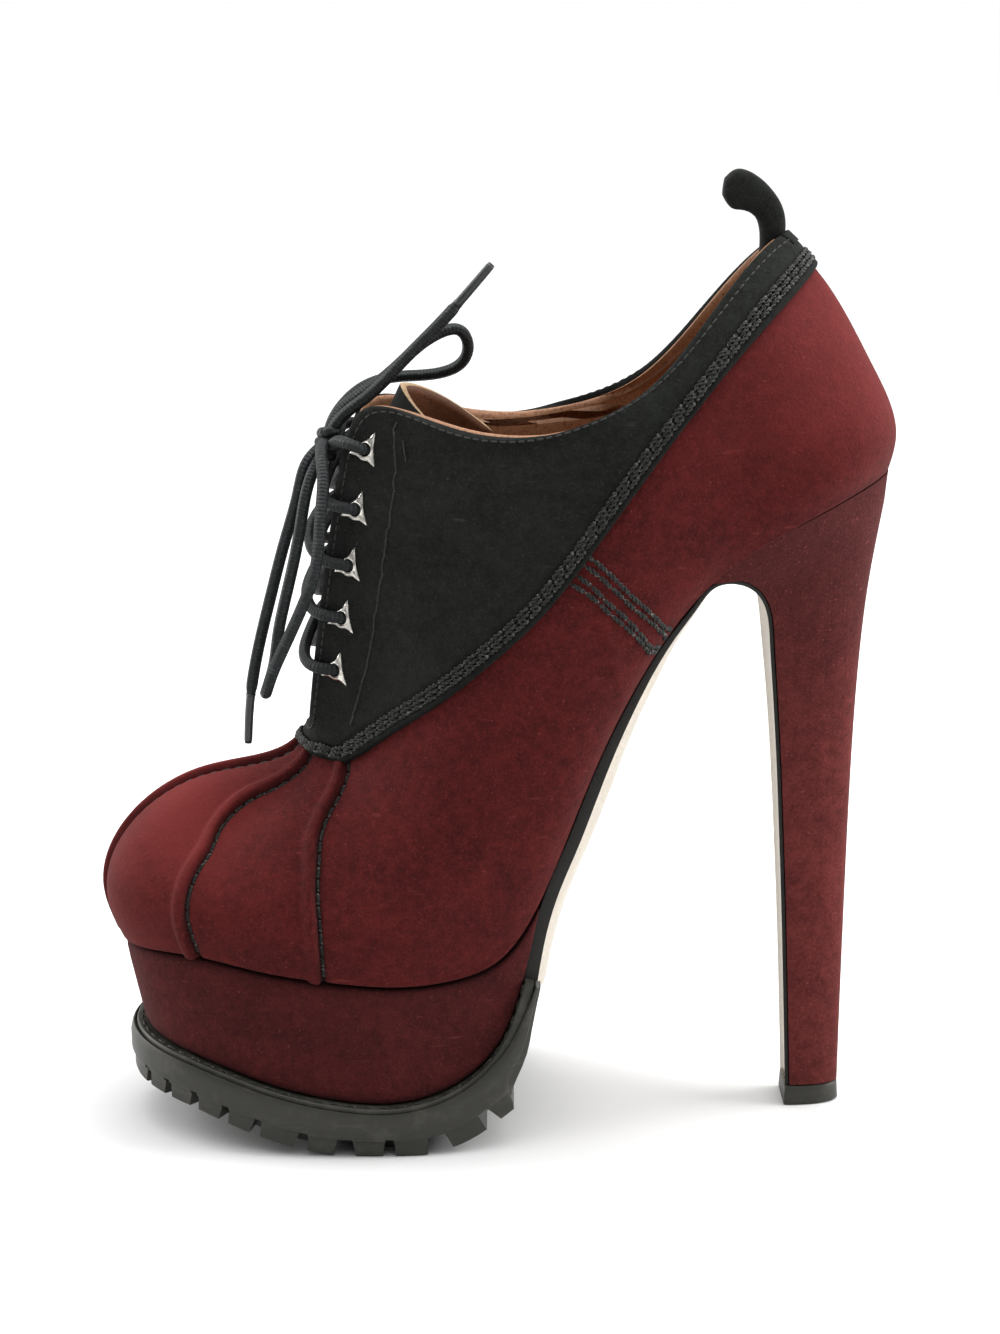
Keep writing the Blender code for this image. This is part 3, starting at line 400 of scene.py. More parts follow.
def tuck_relief(behind, level):
    """Height of the pin tucks over the wall, and the shade of their sewn grooves."""
    fade = np.clip((TUCK_END - level) / TUCK_FADE, 0, 1)
    front = np.exp(-(np.abs(behind) / TUCK_FRONT) ** FRONT_ROUND)
    rear = np.exp(-(np.abs(behind) / TUCK_REAR) ** REAR_ROUND)
    ridge = np.where(behind < 0, front, rear)
    groove = np.exp(-((behind - GROOVE_AT) / GROOVE_HALF) ** 2)
    return fade * (TUCK_HEIGHT * ridge - TUCK_GROOVE * groove), fade * groove


Crease = namedtuple("Crease", "from_line from_level to_line to_level side depth width")
CREASES = (
    Crease(4.6, 0.9, 6.4, 1.9, -1, -0.5, 3.0),
    Crease(5.6, 1.0, 7.0, 1.7, -1, 0.4, 3.5),
    Crease(8.9, 2.4, 9.5, 0.5, -1, 0.35, 1.3),
    Crease(8.9, 2.4, 9.5, 0.5, 1, 0.35, 1.3),
    Crease(11.0, 1.1, 12.4, 1.5, -1, -0.4, 4.0),
    Crease(11.2, 2.2, 12.6, 2.1, -1, -0.35, 4.0),
)


def crease_relief(points):
    """Soft troughs and ridges of the suede along given lines."""
    relief = np.zeros(points.shape[:-1])
    for crease in CREASES:
        share = np.linspace(0, 1, 24)
        lines = crease.from_line + (crease.to_line - crease.from_line) * share
        levels = crease.from_level + (crease.to_level - crease.from_level) * share
        path = on_wall(place(lines, crease.side), levels)
        away = np.min(np.linalg.norm(points[..., None, :] - path, axis=-1), axis=-1)
        relief += crease.depth * np.exp(-(away / crease.width) ** 2)
    return relief


columns = [suede_columns(level) for level in SUEDE_LEVELS]
suede_at = np.array([at for at, _ in columns])
suede_level = np.broadcast_to(SUEDE_LEVELS[:, None], suede_at.shape)
relief, groove_shade = tuck_relief(np.array([behind for _, behind in columns]), suede_level)
suede_points = on_wall(suede_at, suede_level)
outward = wall_normal(suede_at, suede_level)
relief = relief + crease_relief(suede_points)
turns = np.zeros(len(SUEDE_LEVELS))
turns[:len(FEATHER_TURNS)] = FEATHER_TURNS
turns = turns[:, None, None]
suede_points = suede_points + outward * relief[..., None] * np.cos(np.minimum(turns, math.pi / 2))
suede_points -= wall_up(suede_at, suede_level) * FEATHER_ROLL * np.sin(turns)
suede_points -= outward * FEATHER_ROLL * (1 - np.cos(turns))
suede_faces = grid_faces(*suede_at.shape, closed=True)
upper = add_piece("vamp_and_counter", suede_points.reshape(-1, 3), suede_faces, [BURGUNDY])
GROOVE_SHADE, FOLD_SHADE, FOLD_TURN = 0.95, 0.45, math.radians(100)
fold_shade = np.clip(turns[..., 0] / FOLD_TURN, 0, 1) * FOLD_SHADE
note(upper, "seam_shade", np.maximum(groove_shade * GROOVE_SHADE, fold_shade))
# Painted light with some wear: the toe's top and front and the back of the counter are painted paler, partly
# worn nap and partly light falling on them.
TOE_TOP_AT, TOE_TOP_SIZE, TOE_TOP_RUB_AND_LIGHT = (-78, 86), (17, 15), 0.8
TOE_FRONT_AT, TOE_FRONT_LENGTH, TOE_FRONT_RUB_AND_LIGHT = -70, 20, 0.35
COUNTER_AT, COUNTER_SIZE, COUNTER_RUB_AND_LIGHT = (30, 165), (45, 20), 0.4
side_view = suede_points[..., [0, 2]]
toe_top = TOE_TOP_RUB_AND_LIGHT * np.exp(-np.sum(((side_view - TOE_TOP_AT) / TOE_TOP_SIZE) ** 2, axis=-1))
toe_front = TOE_FRONT_RUB_AND_LIGHT * np.clip((TOE_FRONT_AT - side_view[..., 0]) / TOE_FRONT_LENGTH, 0, 1)
counter = COUNTER_RUB_AND_LIGHT * np.prod(np.clip((side_view - COUNTER_AT) / COUNTER_SIZE, 0, 1), axis=-1)
note(upper, "rubbed_and_lit", np.maximum(np.maximum(toe_top, toe_front), counter))
fit(upper, "burgundy_suede", "upper")


def thread_finish(name, colour, highlight):
    """Waxed thread: dark in its twist, with pale frayed fibres, most where a stitch dips in its hole."""
    material, tree, thread = new_finish(name)
    frayed = ranged(tree, noted(tree, "dip"), 0.4, 0.9, 0.12, 1.0)
    pale_share = sums(tree, "MULTIPLY", ranged(tree, cloud(tree, 1500, 3, 0.7), 0.52, 0.66), frayed)
    fibres = tinted(tree, pale_share, colour, highlight)
    feed(tree, thread, Base_Color=fibres, Roughness=0.6, Specular_IOR_Level=0.3)
    embossed(tree, thread, (cloud(tree, 2400, 2, 0.5), 0.4, 0.15))
    return material


BLACK_THREAD = thread_finish("black_waxed_thread", (0.0085, 0.0088, 0.0076), (0.2, 0.195, 0.17))


Stitch = namedtuple("Stitch", "pitch length width height")
STITCH_TURN, STITCH_REACH = 1.6, 0.4


def stitch_shape(stitch, plies):
    """One stitch of one or two twisted plies along (run, across, out), as points and faces."""
    points = []
    faces = []
    along = np.linspace(-1, 1, 9)
    round_ply = np.arange(6) * math.tau / 6
    for ply in range(plies):
        twist = math.tau * (STITCH_TURN * along / 2 + ply / plies)
        swell = np.sqrt(np.maximum(1 - (0.96 * along) ** 2, 0))
        spread = stitch.width / 4 * (plies - 1) * swell
        thick = stitch.width / (2 * plies) * (0.35 + 0.65 * swell)
        across = spread * np.cos(twist)
        out = stitch.height * (swell - 0.75) + spread * 0.5 * np.sin(twist)
        ring = np.zeros((len(along), len(round_ply), 3))
        ring[..., 0] = along[:, None] * stitch.length / 2
        ring[..., 1] = across[:, None] + thick[:, None] * np.cos(round_ply)
        ring[..., 2] = out[:, None] + thick[:, None] * np.sin(round_ply)
        faces.append(grid_faces(len(along), len(round_ply), closed=True) + sum(map(len, points)))
        points.append(ring.reshape(-1, 3))
    return np.vstack(points), np.vstack(faces)


def sew(name, runs, stitch, finish, slot, plies=2):
    """Rows of stitches as one piece. A run is a line of points with the surface's outward directions."""
    shape, shape_faces = stitch_shape(stitch, plies)
    points = []
    faces = []
    for path, normals in runs:
        knots = running_length(path)
        count = max(int(round(knots[-1] / stitch.pitch)), 1)
        at = (np.arange(count) + 0.5) * knots[-1] / count

        def along(values, where):
            where = np.clip(where, 0, knots[-1])
            return np.stack([np.interp(where, knots, values[:, k]) for k in range(3)], axis=1)

        run = unit(along(path, at + STITCH_REACH) - along(path, at - STITCH_REACH))
        across = unit(np.cross(unit(along(normals, at)), run))
        axes = np.stack([run, across, np.cross(run, across)], axis=1)
        stitches = along(path, at)[:, None, :] + np.einsum("vk,nkd->nvd", shape, axes)
        starts = np.arange(count)[:, None, None] * len(shape) + sum(map(len, points))
        faces.append((starts + shape_faces).reshape(-1, 4))
        points.append(stitches.reshape(-1, 3))
    piece = add_piece(name, np.vstack(points), np.vstack(faces), [finish])
    dip = np.abs(shape[:, 0]) * 2 / stitch.length
    note(piece, "dip", np.tile(dip, len(piece.data.vertices) // len(dip)))
    return fit(piece, slot)


def wall_run(at, level, lift):
    """A line along the wall, lifted off it, with its outward directions."""
    normal = wall_normal(at, level)
    return on_wall(at, level) + normal * np.reshape(lift, (-1, 1)), normal


TUCK_STITCH, TUCK_ROW_AT, TUCK_ROW_LIFT = Stitch(3.3, 3.1, 1.25, 0.5), 1.08 * GROOVE_AT, -0.65
tuck_runs = []
levels = np.linspace(0.1, 3.05, 160)
for tuck in TUCKS:
    spot = tuck_place(tuck, levels)
    behind = tuck.rear * TUCK_ROW_AT / np.maximum(wall_pace(spot, levels), SLOWEST_PACE)
    tuck_runs.append(wall_run(spot + behind, levels, TUCK_ROW_LIFT))
sew("tuck_stitches", tuck_runs, TUCK_STITCH, BLACK_THREAD, "burgundy_suede")

WAIST_STITCH = Stitch(4.2, 4.2, 1.65, 0.6)
WAIST_BARS = (
    ((8.8, 3.06), (8.99, 2.73), (9.31, 2.24), (9.72, 1.63), (10.14, 0.78), (10.32, 0.3)),
    ((8.68, 3.08), (8.89, 2.75), (9.21, 2.28), (9.61, 1.70), (10.02, 0.94), (10.22, 0.3)),
    ((8.55, 3.08), (8.75, 2.77), (9.08, 2.28), (9.51, 1.65), (9.99, 0.66), (10.16, 0.3)),
    ((8.44, 3.08), (8.69, 2.73), (9.09, 2.18), (9.54, 1.51), (9.96, 0.62), (10.09, 0.3)),
)
bar_runs = []
for bar, side in itertools.product(WAIST_BARS, (-1, 1)):
    lines, levels = cubic_through(np.arange(len(bar)), bar)(np.linspace(0, len(bar) - 1, 80)).T
    bar_runs.append(wall_run(place(lines, side), levels, 0.0))
sew("waist_stitches", bar_runs, WAIST_STITCH, BLACK_THREAD, "burgundy_suede")


# Lining: smooth brown leather inside the whole upper, cemented to it. Its edge is folded over and shows as a
# thin brown line round collar and throat, with a row of tan stitches just below it.
def smooth_leather(name, colour, worn, roughness, grain, pore_shade=0.6):
    """Thin finished leather with a fine grain, worn paler in patches."""
    material, tree, skin = new_finish(name)
    patches = ranged(tree, cloud(tree, 55, 4, 0.6), 0.38, 0.68)
    tone = tinted(tree, patches, colour, worn)
    pores = ranged(tree, cloud(tree, 1300, 2, 0.5), 0.3, 0.5)
    feed(tree, skin, Base_Color=tinted(tree, pores, tuple(pore_shade * c for c in colour), tone),
         Roughness=ranged(tree, patches, 0, 1, roughness, roughness + 0.12))
    embossed(tree, skin, (cloud(tree, 90, 3, 0.5), 0.2, 0.6), (cloud(tree, grain, 3, 0.6), 0.35, 0.15))
    return material


LINING_LEATHER = smooth_leather("lining_leather", (0.3, 0.135, 0.066), (0.4, 0.195, 0.1), 0.5, 1100)
FOLDED_EDGE = smooth_leather("lining_folded_edge", (0.22, 0.1, 0.046), (0.32, 0.155, 0.075), 0.6, 1100)
TAN_THREAD = thread_finish("tan_thread", (0.28, 0.15, 0.075), (0.5, 0.33, 0.2))


def edge_span(at):
    """Height of the quarter from seam to edge at these places."""
    return np.linalg.norm(on_wall(at, EDGE) - on_wall(at, SEAM), axis=-1)


def edge_square(at):
    """How far a millimetre up the wall moves square to the collar's edge."""
    run = unit(LOOPS[EDGE](at + PLACE_STEP) - LOOPS[EDGE](at - PLACE_STEP))
    return np.linalg.norm(np.cross(wall_up(at, EDGE), run), axis=-1)


def off_wall(at, level, off):
    """Points off the wall by so many millimetres."""
    return on_wall(at, level) + wall_normal(at, level) * off


LINING_AT, LINING_LEVELS = -2.0, np.linspace(0.05, 3.9, 48)[:-1]
LINING_ROW, THREAD_PROUD = 2.9, 0.05
Rim = namedtuple("Rim", "up off rise")
LINING_RIM = (Rim(-1.6, -2.0, 0.2), Rim(-0.9, -2.0, 0.6), Rim(-0.35, -1.85, 1.0), Rim(-0.02, -1.4, 1.0),
              Rim(0.05, -0.9, 1.0), Rim(-0.12, -0.4, 1.0))
FOLDED_ROWS = 3
LINING_STITCH = Stitch(2.4, 1.9, 0.5, 0.25)
lining_at = np.linspace(0, ROUND, 361)[:-1]
lean = np.maximum(0, wall_normal(lining_at, EDGE)[:, 2])
grid = [off_wall(lining_at, level, LINING_AT) for level in LINING_LEVELS]
for rim in LINING_RIM:
    row = off_wall(lining_at, EDGE + rim.up / edge_span(lining_at) / edge_square(lining_at), rim.off)
    row[:, 2] -= lean * rim.off * rim.rise
    grid.append(row)
grid = np.array(grid)
lining_faces = grid_faces(*grid.shape[:2], closed=True)[:, ::-1]
lining = add_piece("lining", grid.reshape(-1, 3), lining_faces, [LINING_LEATHER, FOLDED_EDGE])
for face in lining.data.polygons[-FOLDED_ROWS * len(lining_at):]:
    face.material_index = 1
fit(lining, "lining_leather")
edge_at = np.linspace(0, ROUND, 1400)
edge_level = EDGE - LINING_ROW / edge_span(edge_at) / edge_square(edge_at)
lining_run = off_wall(edge_at, edge_level, LINING_AT - THREAD_PROUD), -wall_normal(edge_at, edge_level)
sew("lining_stitches", [lining_run], LINING_STITCH, TAN_THREAD, "lining_leather")


# Quarter: black suede over the upper from collar and throat down to a wide seam, its edge turned in at the
# top. A rope-like band of three rows of thick waxed stitches holds its lower edge; finer rows run under the
# collar edge and along the facings.
BLACK = suede("black_suede", (0.0122, 0.0136, 0.0118), (0.0042, 0.0048, 0.0040), (0.002, 0.002, 0.002),
              (0.02, 0.021, 0.019))
FULL_SPAN = 12.0
LOWER_EDGE = ((0.0, 0.0), (-0.02, 0.5), (0.02, 1.0), (0.2, 1.3), (0.5, 1.46), (0.9, 1.5), (1.3, 1.45),
              (1.8, 1.25), (2.7, 1.12), (3.6, 1.1), (4.6, 1.12), (5.4, 1.25), (6.1, 1.48), (7.0, 1.55))
LOWER_SHADE = (0.9, 0.8, 0.5, 0.35, 0.3, 0.3, 0.4, 0.6, 0.8, 0.8, 0.8, 0.6, 0.2)
UPPER_EDGE = ((-2.2, 1.55), (-1.4, 1.56), (-0.8, 1.5), (-0.3, 1.35), (0.0, 1.1), (0.12, 0.7), (0.1, 0.2),
              (-0.05, -0.1), (-0.5, -0.25))
QUARTER_THICK, QUARTER_ROWS_BETWEEN = 1.55, 26


def across_quarter(at, level, up):
    """Levels so many millimetres up from a level, drawn together where the quarter is narrow."""
    span = edge_span(at)
    return level + up * np.minimum(1, span / FULL_SPAN) / span


quarter_at = np.linspace(0, ROUND, 521)[:-1]
rows = [(across_quarter(quarter_at, SEAM, up), off) for up, off in LOWER_EDGE]
top_rows = [(across_quarter(quarter_at, EDGE, up), off) for up, off in UPPER_EDGE]
low, high = rows[-1][0], top_rows[0][0]
shares = np.linspace(0, 1, QUARTER_ROWS_BETWEEN + 2)[1:-1]
rows += [(low + (high - low) * share, QUARTER_THICK) for share in shares] + top_rows
grid = np.array([off_wall(quarter_at, level, off) for level, off in rows])
quarter = add_piece("quarter", grid.reshape(-1, 3), grid_faces(*grid.shape[:2], closed=True), [BLACK])
shade = np.zeros(grid.shape[:2])
shade[:len(LOWER_SHADE)] = np.array(LOWER_SHADE)[:, None]
note(quarter, "seam_shade", shade)
fit(quarter, "black_suede", "quarter")

BAND_ROWS, BAND_LIFT, BAND_STITCH = (2.3, 3.6, 4.9), 1.3, Stitch(4.4, 4.35, 1.5, 0.75)
THROAT_FROM, THROAT_TO, THROAT_DROP, THROAT_LIFT = place(5.2), place(3.6), 0.7, 0.35
band_at = np.linspace(0, ROUND, 2400)
from_toe = np.minimum(band_at, ROUND - band_at)
near_throat = np.clip((THROAT_FROM - from_toe) / (THROAT_FROM - THROAT_TO), 0, 1)
band_levels = [across_quarter(band_at, SEAM, up - THROAT_DROP * near_throat) for up in BAND_ROWS]
band_runs = [wall_run(band_at, level, BAND_LIFT + THROAT_LIFT * near_throat) for level in band_levels]
sew("seam_band", band_runs, BAND_STITCH, BLACK_THREAD, "black_suede")

GREY_THREAD = thread_finish("grey_thread", (0.017, 0.017, 0.016), (0.075, 0.075, 0.068))
COLLAR_ROW, COLLAR_LIFT, COLLAR_STITCH = -2.1, 1.5, Stitch(2.3, 1.9, 0.5, 0.28)
collar_run = wall_run(band_at, across_quarter(band_at, EDGE, COLLAR_ROW), COLLAR_LIFT)
sew("collar_stitches", [collar_run], COLLAR_STITCH, GREY_THREAD, "black_suede", 1)

FACING_ROW = ((8.22, 3.9), (7.55, 3.78), (6.96, 3.73), (6.42, 3.69), (5.87, 3.63), (5.19, 3.51), (4.54, 3.37))
FACING_WAVES, FACING_SWAY, FACING_SWELL, FACING_LIFT = 11, 0.005, 40, 1.6
FACING_STITCH = Stitch(2.4, 2.6, 0.7, 0.28)
share = np.linspace(0, 1, 400)
lines, levels = cubic_through(np.linspace(0, 1, len(FACING_ROW)), FACING_ROW)(share).T
levels += FACING_SWAY * np.sin(share * math.tau * FACING_WAVES) * (1 + np.sin(share * FACING_SWELL)) / 2
facing_runs = [wall_run(place(lines, side), levels, FACING_LIFT) for side in (-1, 1)]
sew("facing_stitches", facing_runs, FACING_STITCH, GREY_THREAD, "black_suede")

LOOSE_THREAD, LOOSE_LIFT = ((8.04, 3.82), (7.9, 3.79), (7.8, 3.76)), 1.75
LOOSE_STITCH = Stitch(6.0, 5.6, 0.4, 0.3)
lines, levels = np.array(LOOSE_THREAD).T
loose_run = wall_run(place(lines), levels, LOOSE_LIFT)
sew("loose_thread", [loose_run], LOOSE_STITCH, GREY_THREAD, "black_suede", 1)


# Back strip: a narrow strip of black suede sewn over the seam at the back of the quarter, turned in over the
# collar.
STRIP_HALF, STRIP_FOOT, STRIP_TOP = 4.0, 7.6, 3.98
STRIP_SECTION = ((-1, 1.2), (-1, 1.7), (-0.9, 1.95), (-0.5, 2.0), (0, 2.0), (0.5, 2.0), (0.9, 1.95), (1, 1.7),
                 (1, 1.2))
TURNED_IN = (1.4, 0.4)
heel_back = HALF_ROUND[-1:]
across, offs = np.array(STRIP_SECTION)[::-1].T
grid = []
for level in np.linspace(SEAM + STRIP_FOOT / edge_span(heel_back)[0], STRIP_TOP, 16):
    at = heel_back - across * STRIP_HALF / wall_pace(heel_back, level)
    grid.append(off_wall(at, level, offs[:, None]))
for off in TURNED_IN:
    grid.append(on_wall(at, EDGE) + wall_normal(heel_back, EDGE) * off)
grid = np.array(grid)
strip = add_piece("back_strip", grid.reshape(-1, 3), grid_faces(*grid.shape[:2]), [BLACK])
note(strip, "seam_shade", np.zeros(grid.shape[:2]))
fit(strip, "black_suede")


# Tongue: one piece of leather bent round the instep under the facings, black suede outside and brown inside,
# with a pale cut edge.
Tongue = namedtuple("Tongue", "name x z half depth wing_drop")
TONGUE = (
    Tongue("root", -43.0, 90.5, 6.5, 1.0, 0),
    Tongue("low", -39.6, 111, 9, 4.0, 0),
    Tongue("middle", -36.5, 140, 14.5, 9.0, 0),
    Tongue("high", -31.0, 168, 17.5, 15, 2),
    Tongue("top", -21.5, 190.5, 19, 21.5, 9),
)
TONGUE_LEATHER = smooth_leather("tongue_leather", (0.12, 0.041, 0.0145), (0.18, 0.066, 0.0255), 0.6, 1100)
CUT_EDGE = smooth_leather("pale_cut_edge", (0.30, 0.195, 0.1), (0.44, 0.3, 0.17), 0.75, 900)
TONGUE_THICK, TONGUE_BEND = 1.8, 1.7
NEAR_FALL, NEAR_BEND, FAR_FALL, FAR_BEND = 2.0, 1.2, 1.6, 2.4
tongue_rows = np.array([row[1:] for row in TONGUE])
knots = running_length(tongue_rows[:, :2])
across = np.linspace(-1, 1, 41)
fall = np.where(across > 0, NEAR_FALL * abs(across) ** NEAR_BEND, FAR_FALL * abs(across) ** FAR_BEND)
grid = []
for x, z, half, depth, drop in cubic_through(knots, tongue_rows)(np.linspace(0, knots[-1], 48)):
    back = x + depth * abs(across) ** TONGUE_BEND
    grid.append(np.stack([back, -half * across, z - drop * fall], axis=1))
grid = np.array(grid)[::-1]
finishes = [TONGUE_LEATHER, BLACK, CUT_EDGE]
tongue = add_piece("tongue", grid.reshape(-1, 3), grid_faces(*grid.shape[:2]), finishes)
note(tongue, "seam_shade", np.zeros(grid.shape[:2]))
thickness = tongue.modifiers.new("thickness", "SOLIDIFY")
thickness.thickness = TONGUE_THICK * MM
thickness.offset = -1
thickness.material_offset = 1
thickness.material_offset_rim = 2
fit(tongue, "black_suede", "tongue")


# Insole: a stiff board that closes the boot underneath, with the upper lasted under its edge. It is covered
# with the same brown leather as the lining.
INSOLE_LEVEL, INSOLE_INSET, INSOLE_DISH = 0.25, 1.5, 1.2
insole_lines = np.linspace(0.12, 13.9, 110)
inner, outer = [off_wall(place(insole_lines, side), INSOLE_LEVEL, -INSOLE_INSET) for side in (-1, 1)]
share = np.linspace(0, 1, 15)
grid = inner[:, None, :] + (outer - inner)[:, None, :] * share[None, :, None]
grid[..., 2] -= INSOLE_DISH * (1 - (2 * share - 1)[None, :] ** 4)
insole = add_piece("insole_cover", grid.reshape(-1, 3), grid_faces(*grid.shape[:2]), [LINING_LEATHER])
fit(insole, "lining_leather", "insole")


# Platform: a light block under the forefoot, wrapped in the burgundy suede, rounded under the feather edge
# and drawn out to a point under the waist.
Sole = namedtuple("Sole", "name under_x under_z inner outer tread_x tread_z last_line")
SOLE = (
    Sole("toe_tip", -91.2, 25.6, 0, 0, -90.4, 13.4, 0),
    Sole("toe_corner", -85.6, 24.8, 18.5, 17.5, -85.6, 12.2, 1),
    Sole("toe_side", -72, 22.2, 30.6, 29.2, -72.5, 9.0, 2),
    Sole("vamp_side", -56, 17.6, 36.4, 35.6, -56, 3.7, 3),
    Sole("forefoot", -39, 13.8, 37.8, 39.3, -38, 0, 4),
    Sole("ball", -22, 13.2, 37.3, 40.8, -17, 0, 5),
    Sole("tread", -8, 18, 35.2, 39, -4, 4.2, 6),
    Sole("rise", 0.5, 25.5, 33, 37, 7.2, 14.8, 7),
    Sole("run_out", 8, 44, 30.6, 34.4, 12.4, 42.3, 7.6),
)
PLATFORM_END = (11.7, 61.0, 29.4, 33.0, 7.85)
SOLE_STEPS = np.concatenate([np.arange(0, 2, 0.08), np.arange(2, len(SOLE) - 1, 0.12), [len(SOLE) - 1]])
LEVEL_TIP, TIP_ROUND = 0.05, 6.0


def side_normals(path):
    """Normals of a side-view path of (x, z) that runs from toe to heel, pointing down and out."""
    run = unit(np.gradient(path, axis=0))
    return np.stack([run[:, 1], -run[:, 0]], axis=1)


def grown(ring, by):
    """A ring moved outwards within the sloping surface that it lies on."""
    run = np.gradient(ring, axis=0)
    ahead = np.where(run[:, 0] < 0, -1, 1)
    level = np.abs(run[:, 0]) + LEVEL_TIP * np.abs(run[:, 1])
    length = np.hypot(level, run[:, 2])
    slope = -run[:, 1] / length
    out = np.stack([slope * level, ahead * length, slope * ahead * run[:, 2]], axis=1)
    return ring + unit(out) * by


def sole_ring(rows, steps):
    """A smooth ring through rows of (x, inner, outer, z), from the rear of the inner side round the toe."""
    inner = [(x, -half, z) for x, half, _, z in rows]
    outer = [(x, half, z) for x, _, half, z in rows]
    controls = swung(inner[::-1] + outer[1:])
    knots = running_length(controls)
    numbers = np.arange(len(controls)) - (len(rows) - 1)
    places = np.concatenate([-np.asarray(steps)[::-1], np.asarray(steps)[1:]])
    return cubic_through(knots, controls)(np.interp(places, numbers, knots))


def dropped(ring, by):
    """A sole ring moved down and out along the normals of its side view."""
    half = len(ring) // 2
    normals = side_normals(ring[half:, [0, 2]])
    first = int(np.argmax(ring[half:, 0] > ring[half, 0] + TIP_ROUND))
    normals[:first] = normals[first]
    moved = np.array(ring)
    moved[:, [0, 2]] += np.vstack([normals[:0:-1], normals]) * by
    return moved


def feather_ring(lines, drop):
    """The feather edge from the last of these lines round the toe and back, moved down off the bottom."""
    inner, outer = [LOOPS[FEATHER](place(lines, side)) for side in (-1, 1)]
    normals = side_normals(inner[:, [0, 2]])
    moved = np.vstack([inner[::-1], outer[1:]])
    moved[:, [0, 2]] += np.vstack([normals[::-1], normals[1:]]) * drop
    return moved


def turn_out(piece):
    """Turns all faces of a piece outwards."""
    turned = bmesh.new()
    turned.from_mesh(piece.data)
    bmesh.ops.recalc_face_normals(turned, faces=turned.faces)
    turned.to_mesh(piece.data)
    turned.free()


def loft(name, rings, finishes, crease_angle=None):
    """A closed solid through rings of points. Each end is closed by rungs between its two sides."""
    rings = np.asarray(rings)
    count = rings.shape[1]
    faces = [tuple(face) for face in grid_faces(len(rings), count, closed=True)]
    rungs = [(i, count - 1 - i) for i in range(count // 2 + 1)]
    for base in (0, (len(rings) - 1) * count):
        for (a, b), (c, d) in zip(rungs, rungs[1:]):
            faces.append(tuple(dict.fromkeys((base + a, base + c, base + d, base + b))))
    piece = add_piece(name, rings.reshape(-1, 3), [face for face in faces if len(face) > 2], finishes)
    turn_out(piece)
    if crease_angle:
        piece.data.set_sharp_from_angle(angle=math.radians(crease_angle))
    return piece


platform_steps = np.append(SOLE_STEPS, np.linspace(len(SOLE) - 1, len(SOLE), 6)[1:])
under_rows = [(row.under_x, row.inner, row.outer, row.under_z) for row in SOLE]
end_x, end_z, end_inner, end_outer, end_line = PLATFORM_END
platform_foot = sole_ring(under_rows + [(end_x, end_inner, end_outer, end_z)], platform_steps)
platform_lines = np.interp(platform_steps, range(len(SOLE) + 1), [row.last_line for row in SOLE] + [end_line])
PlatformRing = namedtuple("PlatformRing", "share inset shade")
PLATFORM_RINGS = (
    PlatformRing(0.0, 3.0, 0.7), PlatformRing(0.0, 1.6, 0.6), PlatformRing(0.015, 0.85, 0.35),
    PlatformRing(0.045, 0.45, 0.2), PlatformRing(0.1, 0.25, 0.05), PlatformRing(0.25, 0.1, 0),
    PlatformRing(0.5, 0.05, 0), PlatformRing(0.8, 0.0, 0), PlatformRing(0.93, 0.05, 0.1),
    PlatformRing(0.985, 0.5, 0.4), PlatformRing(1.0, 1.2, 0.7),
)
HEAD_DROP = 0.35
platform_head = feather_ring(platform_lines, HEAD_DROP)
height = platform_foot - platform_head
rings = [grown(platform_head + height * ring.share, -ring.inset) for ring in PLATFORM_RINGS]
# Painted shade: the platform's suede is a darker copy of the burgundy suede, for the shade under the overhang
# of the upper.
SHADED_PLATFORM_SUEDE = suede("platform_suede_in_shade", (0.066, 0.0096, 0.0095), (0.029, 0.0042, 0.0042),
                       (0.008, 0.003, 0.003), (0.09, 0.016, 0.015))
platform = loft("platform_cover", rings, [SHADED_PLATFORM_SUEDE])
note(platform, "seam_shade", np.repeat([ring.shade for ring in PLATFORM_RINGS], len(platform_foot)))
fit(platform, "burgundy_suede", "platform")


# Welt: a thin black rubber rim cemented between platform and sole, with one row of waxed stitches round its
# top.
def rubber(name, colour, dust, roughness):
    """Moulded rubber: dull, a little greyer where it is scuffed, with a fine even skin."""
    material, tree, skin = new_finish(name)
    scuffed = ranged(tree, cloud(tree, 120, 5, 0.7), 0.5, 0.75, 0, 0.6)
    scratched = ranged(tree, cloud(tree, 420, 3, 0.6, stretch=(0.12, 0.12, 1.0)), 0.62, 0.74, 0, 0.5)
    worn = sums(tree, "MAXIMUM", scuffed, scratched)
    feed(tree, skin, Base_Color=tinted(tree, worn, colour, dust), Specular_IOR_Level=0.3,
         Roughness=ranged(tree, worn, 0, 1, roughness, roughness + 0.2))
    embossed(tree, skin, (cloud(tree, 150, 3, 0.5), 0.15, 0.5), (cloud(tree, 1400, 3, 0.6), 0.3, 0.1))
    return material


RUBBER = rubber("black_rubber", (0.0255, 0.025, 0.0198), (0.08, 0.077, 0.064), 0.44)
WELT_THICK, GAP, WELT_CREASE = 2.4, 0.3, 50
WELT_RINGS = ((0.0, -1.5), (0.0, 1.6), (0.0, 2.0), (0.3, 2.3), (1.2, 2.35), (2.4, 2.2))
sole_seat = sole_ring(under_rows, SOLE_STEPS)
rings = [dropped(grown(sole_seat, out), GAP + down) for down, out in WELT_RINGS]
welt = loft("welt", rings, [RUBBER], WELT_CREASE)
fit(welt, "black_rubber", "welt")
WELT_ROW, WELT_STITCH = 1.0, Stitch(4.2, 2.6, 0.7, 0.3)
welt_path = dropped(grown(sole_seat, WELT_ROW), GAP - THREAD_PROUD)
welt_run = welt_path, np.tile([0.0, 0.0, 1.0], (len(welt_path), 1))
sew("welt_stitches", [welt_run], WELT_STITCH, BLACK_THREAD, "black_rubber", 1)


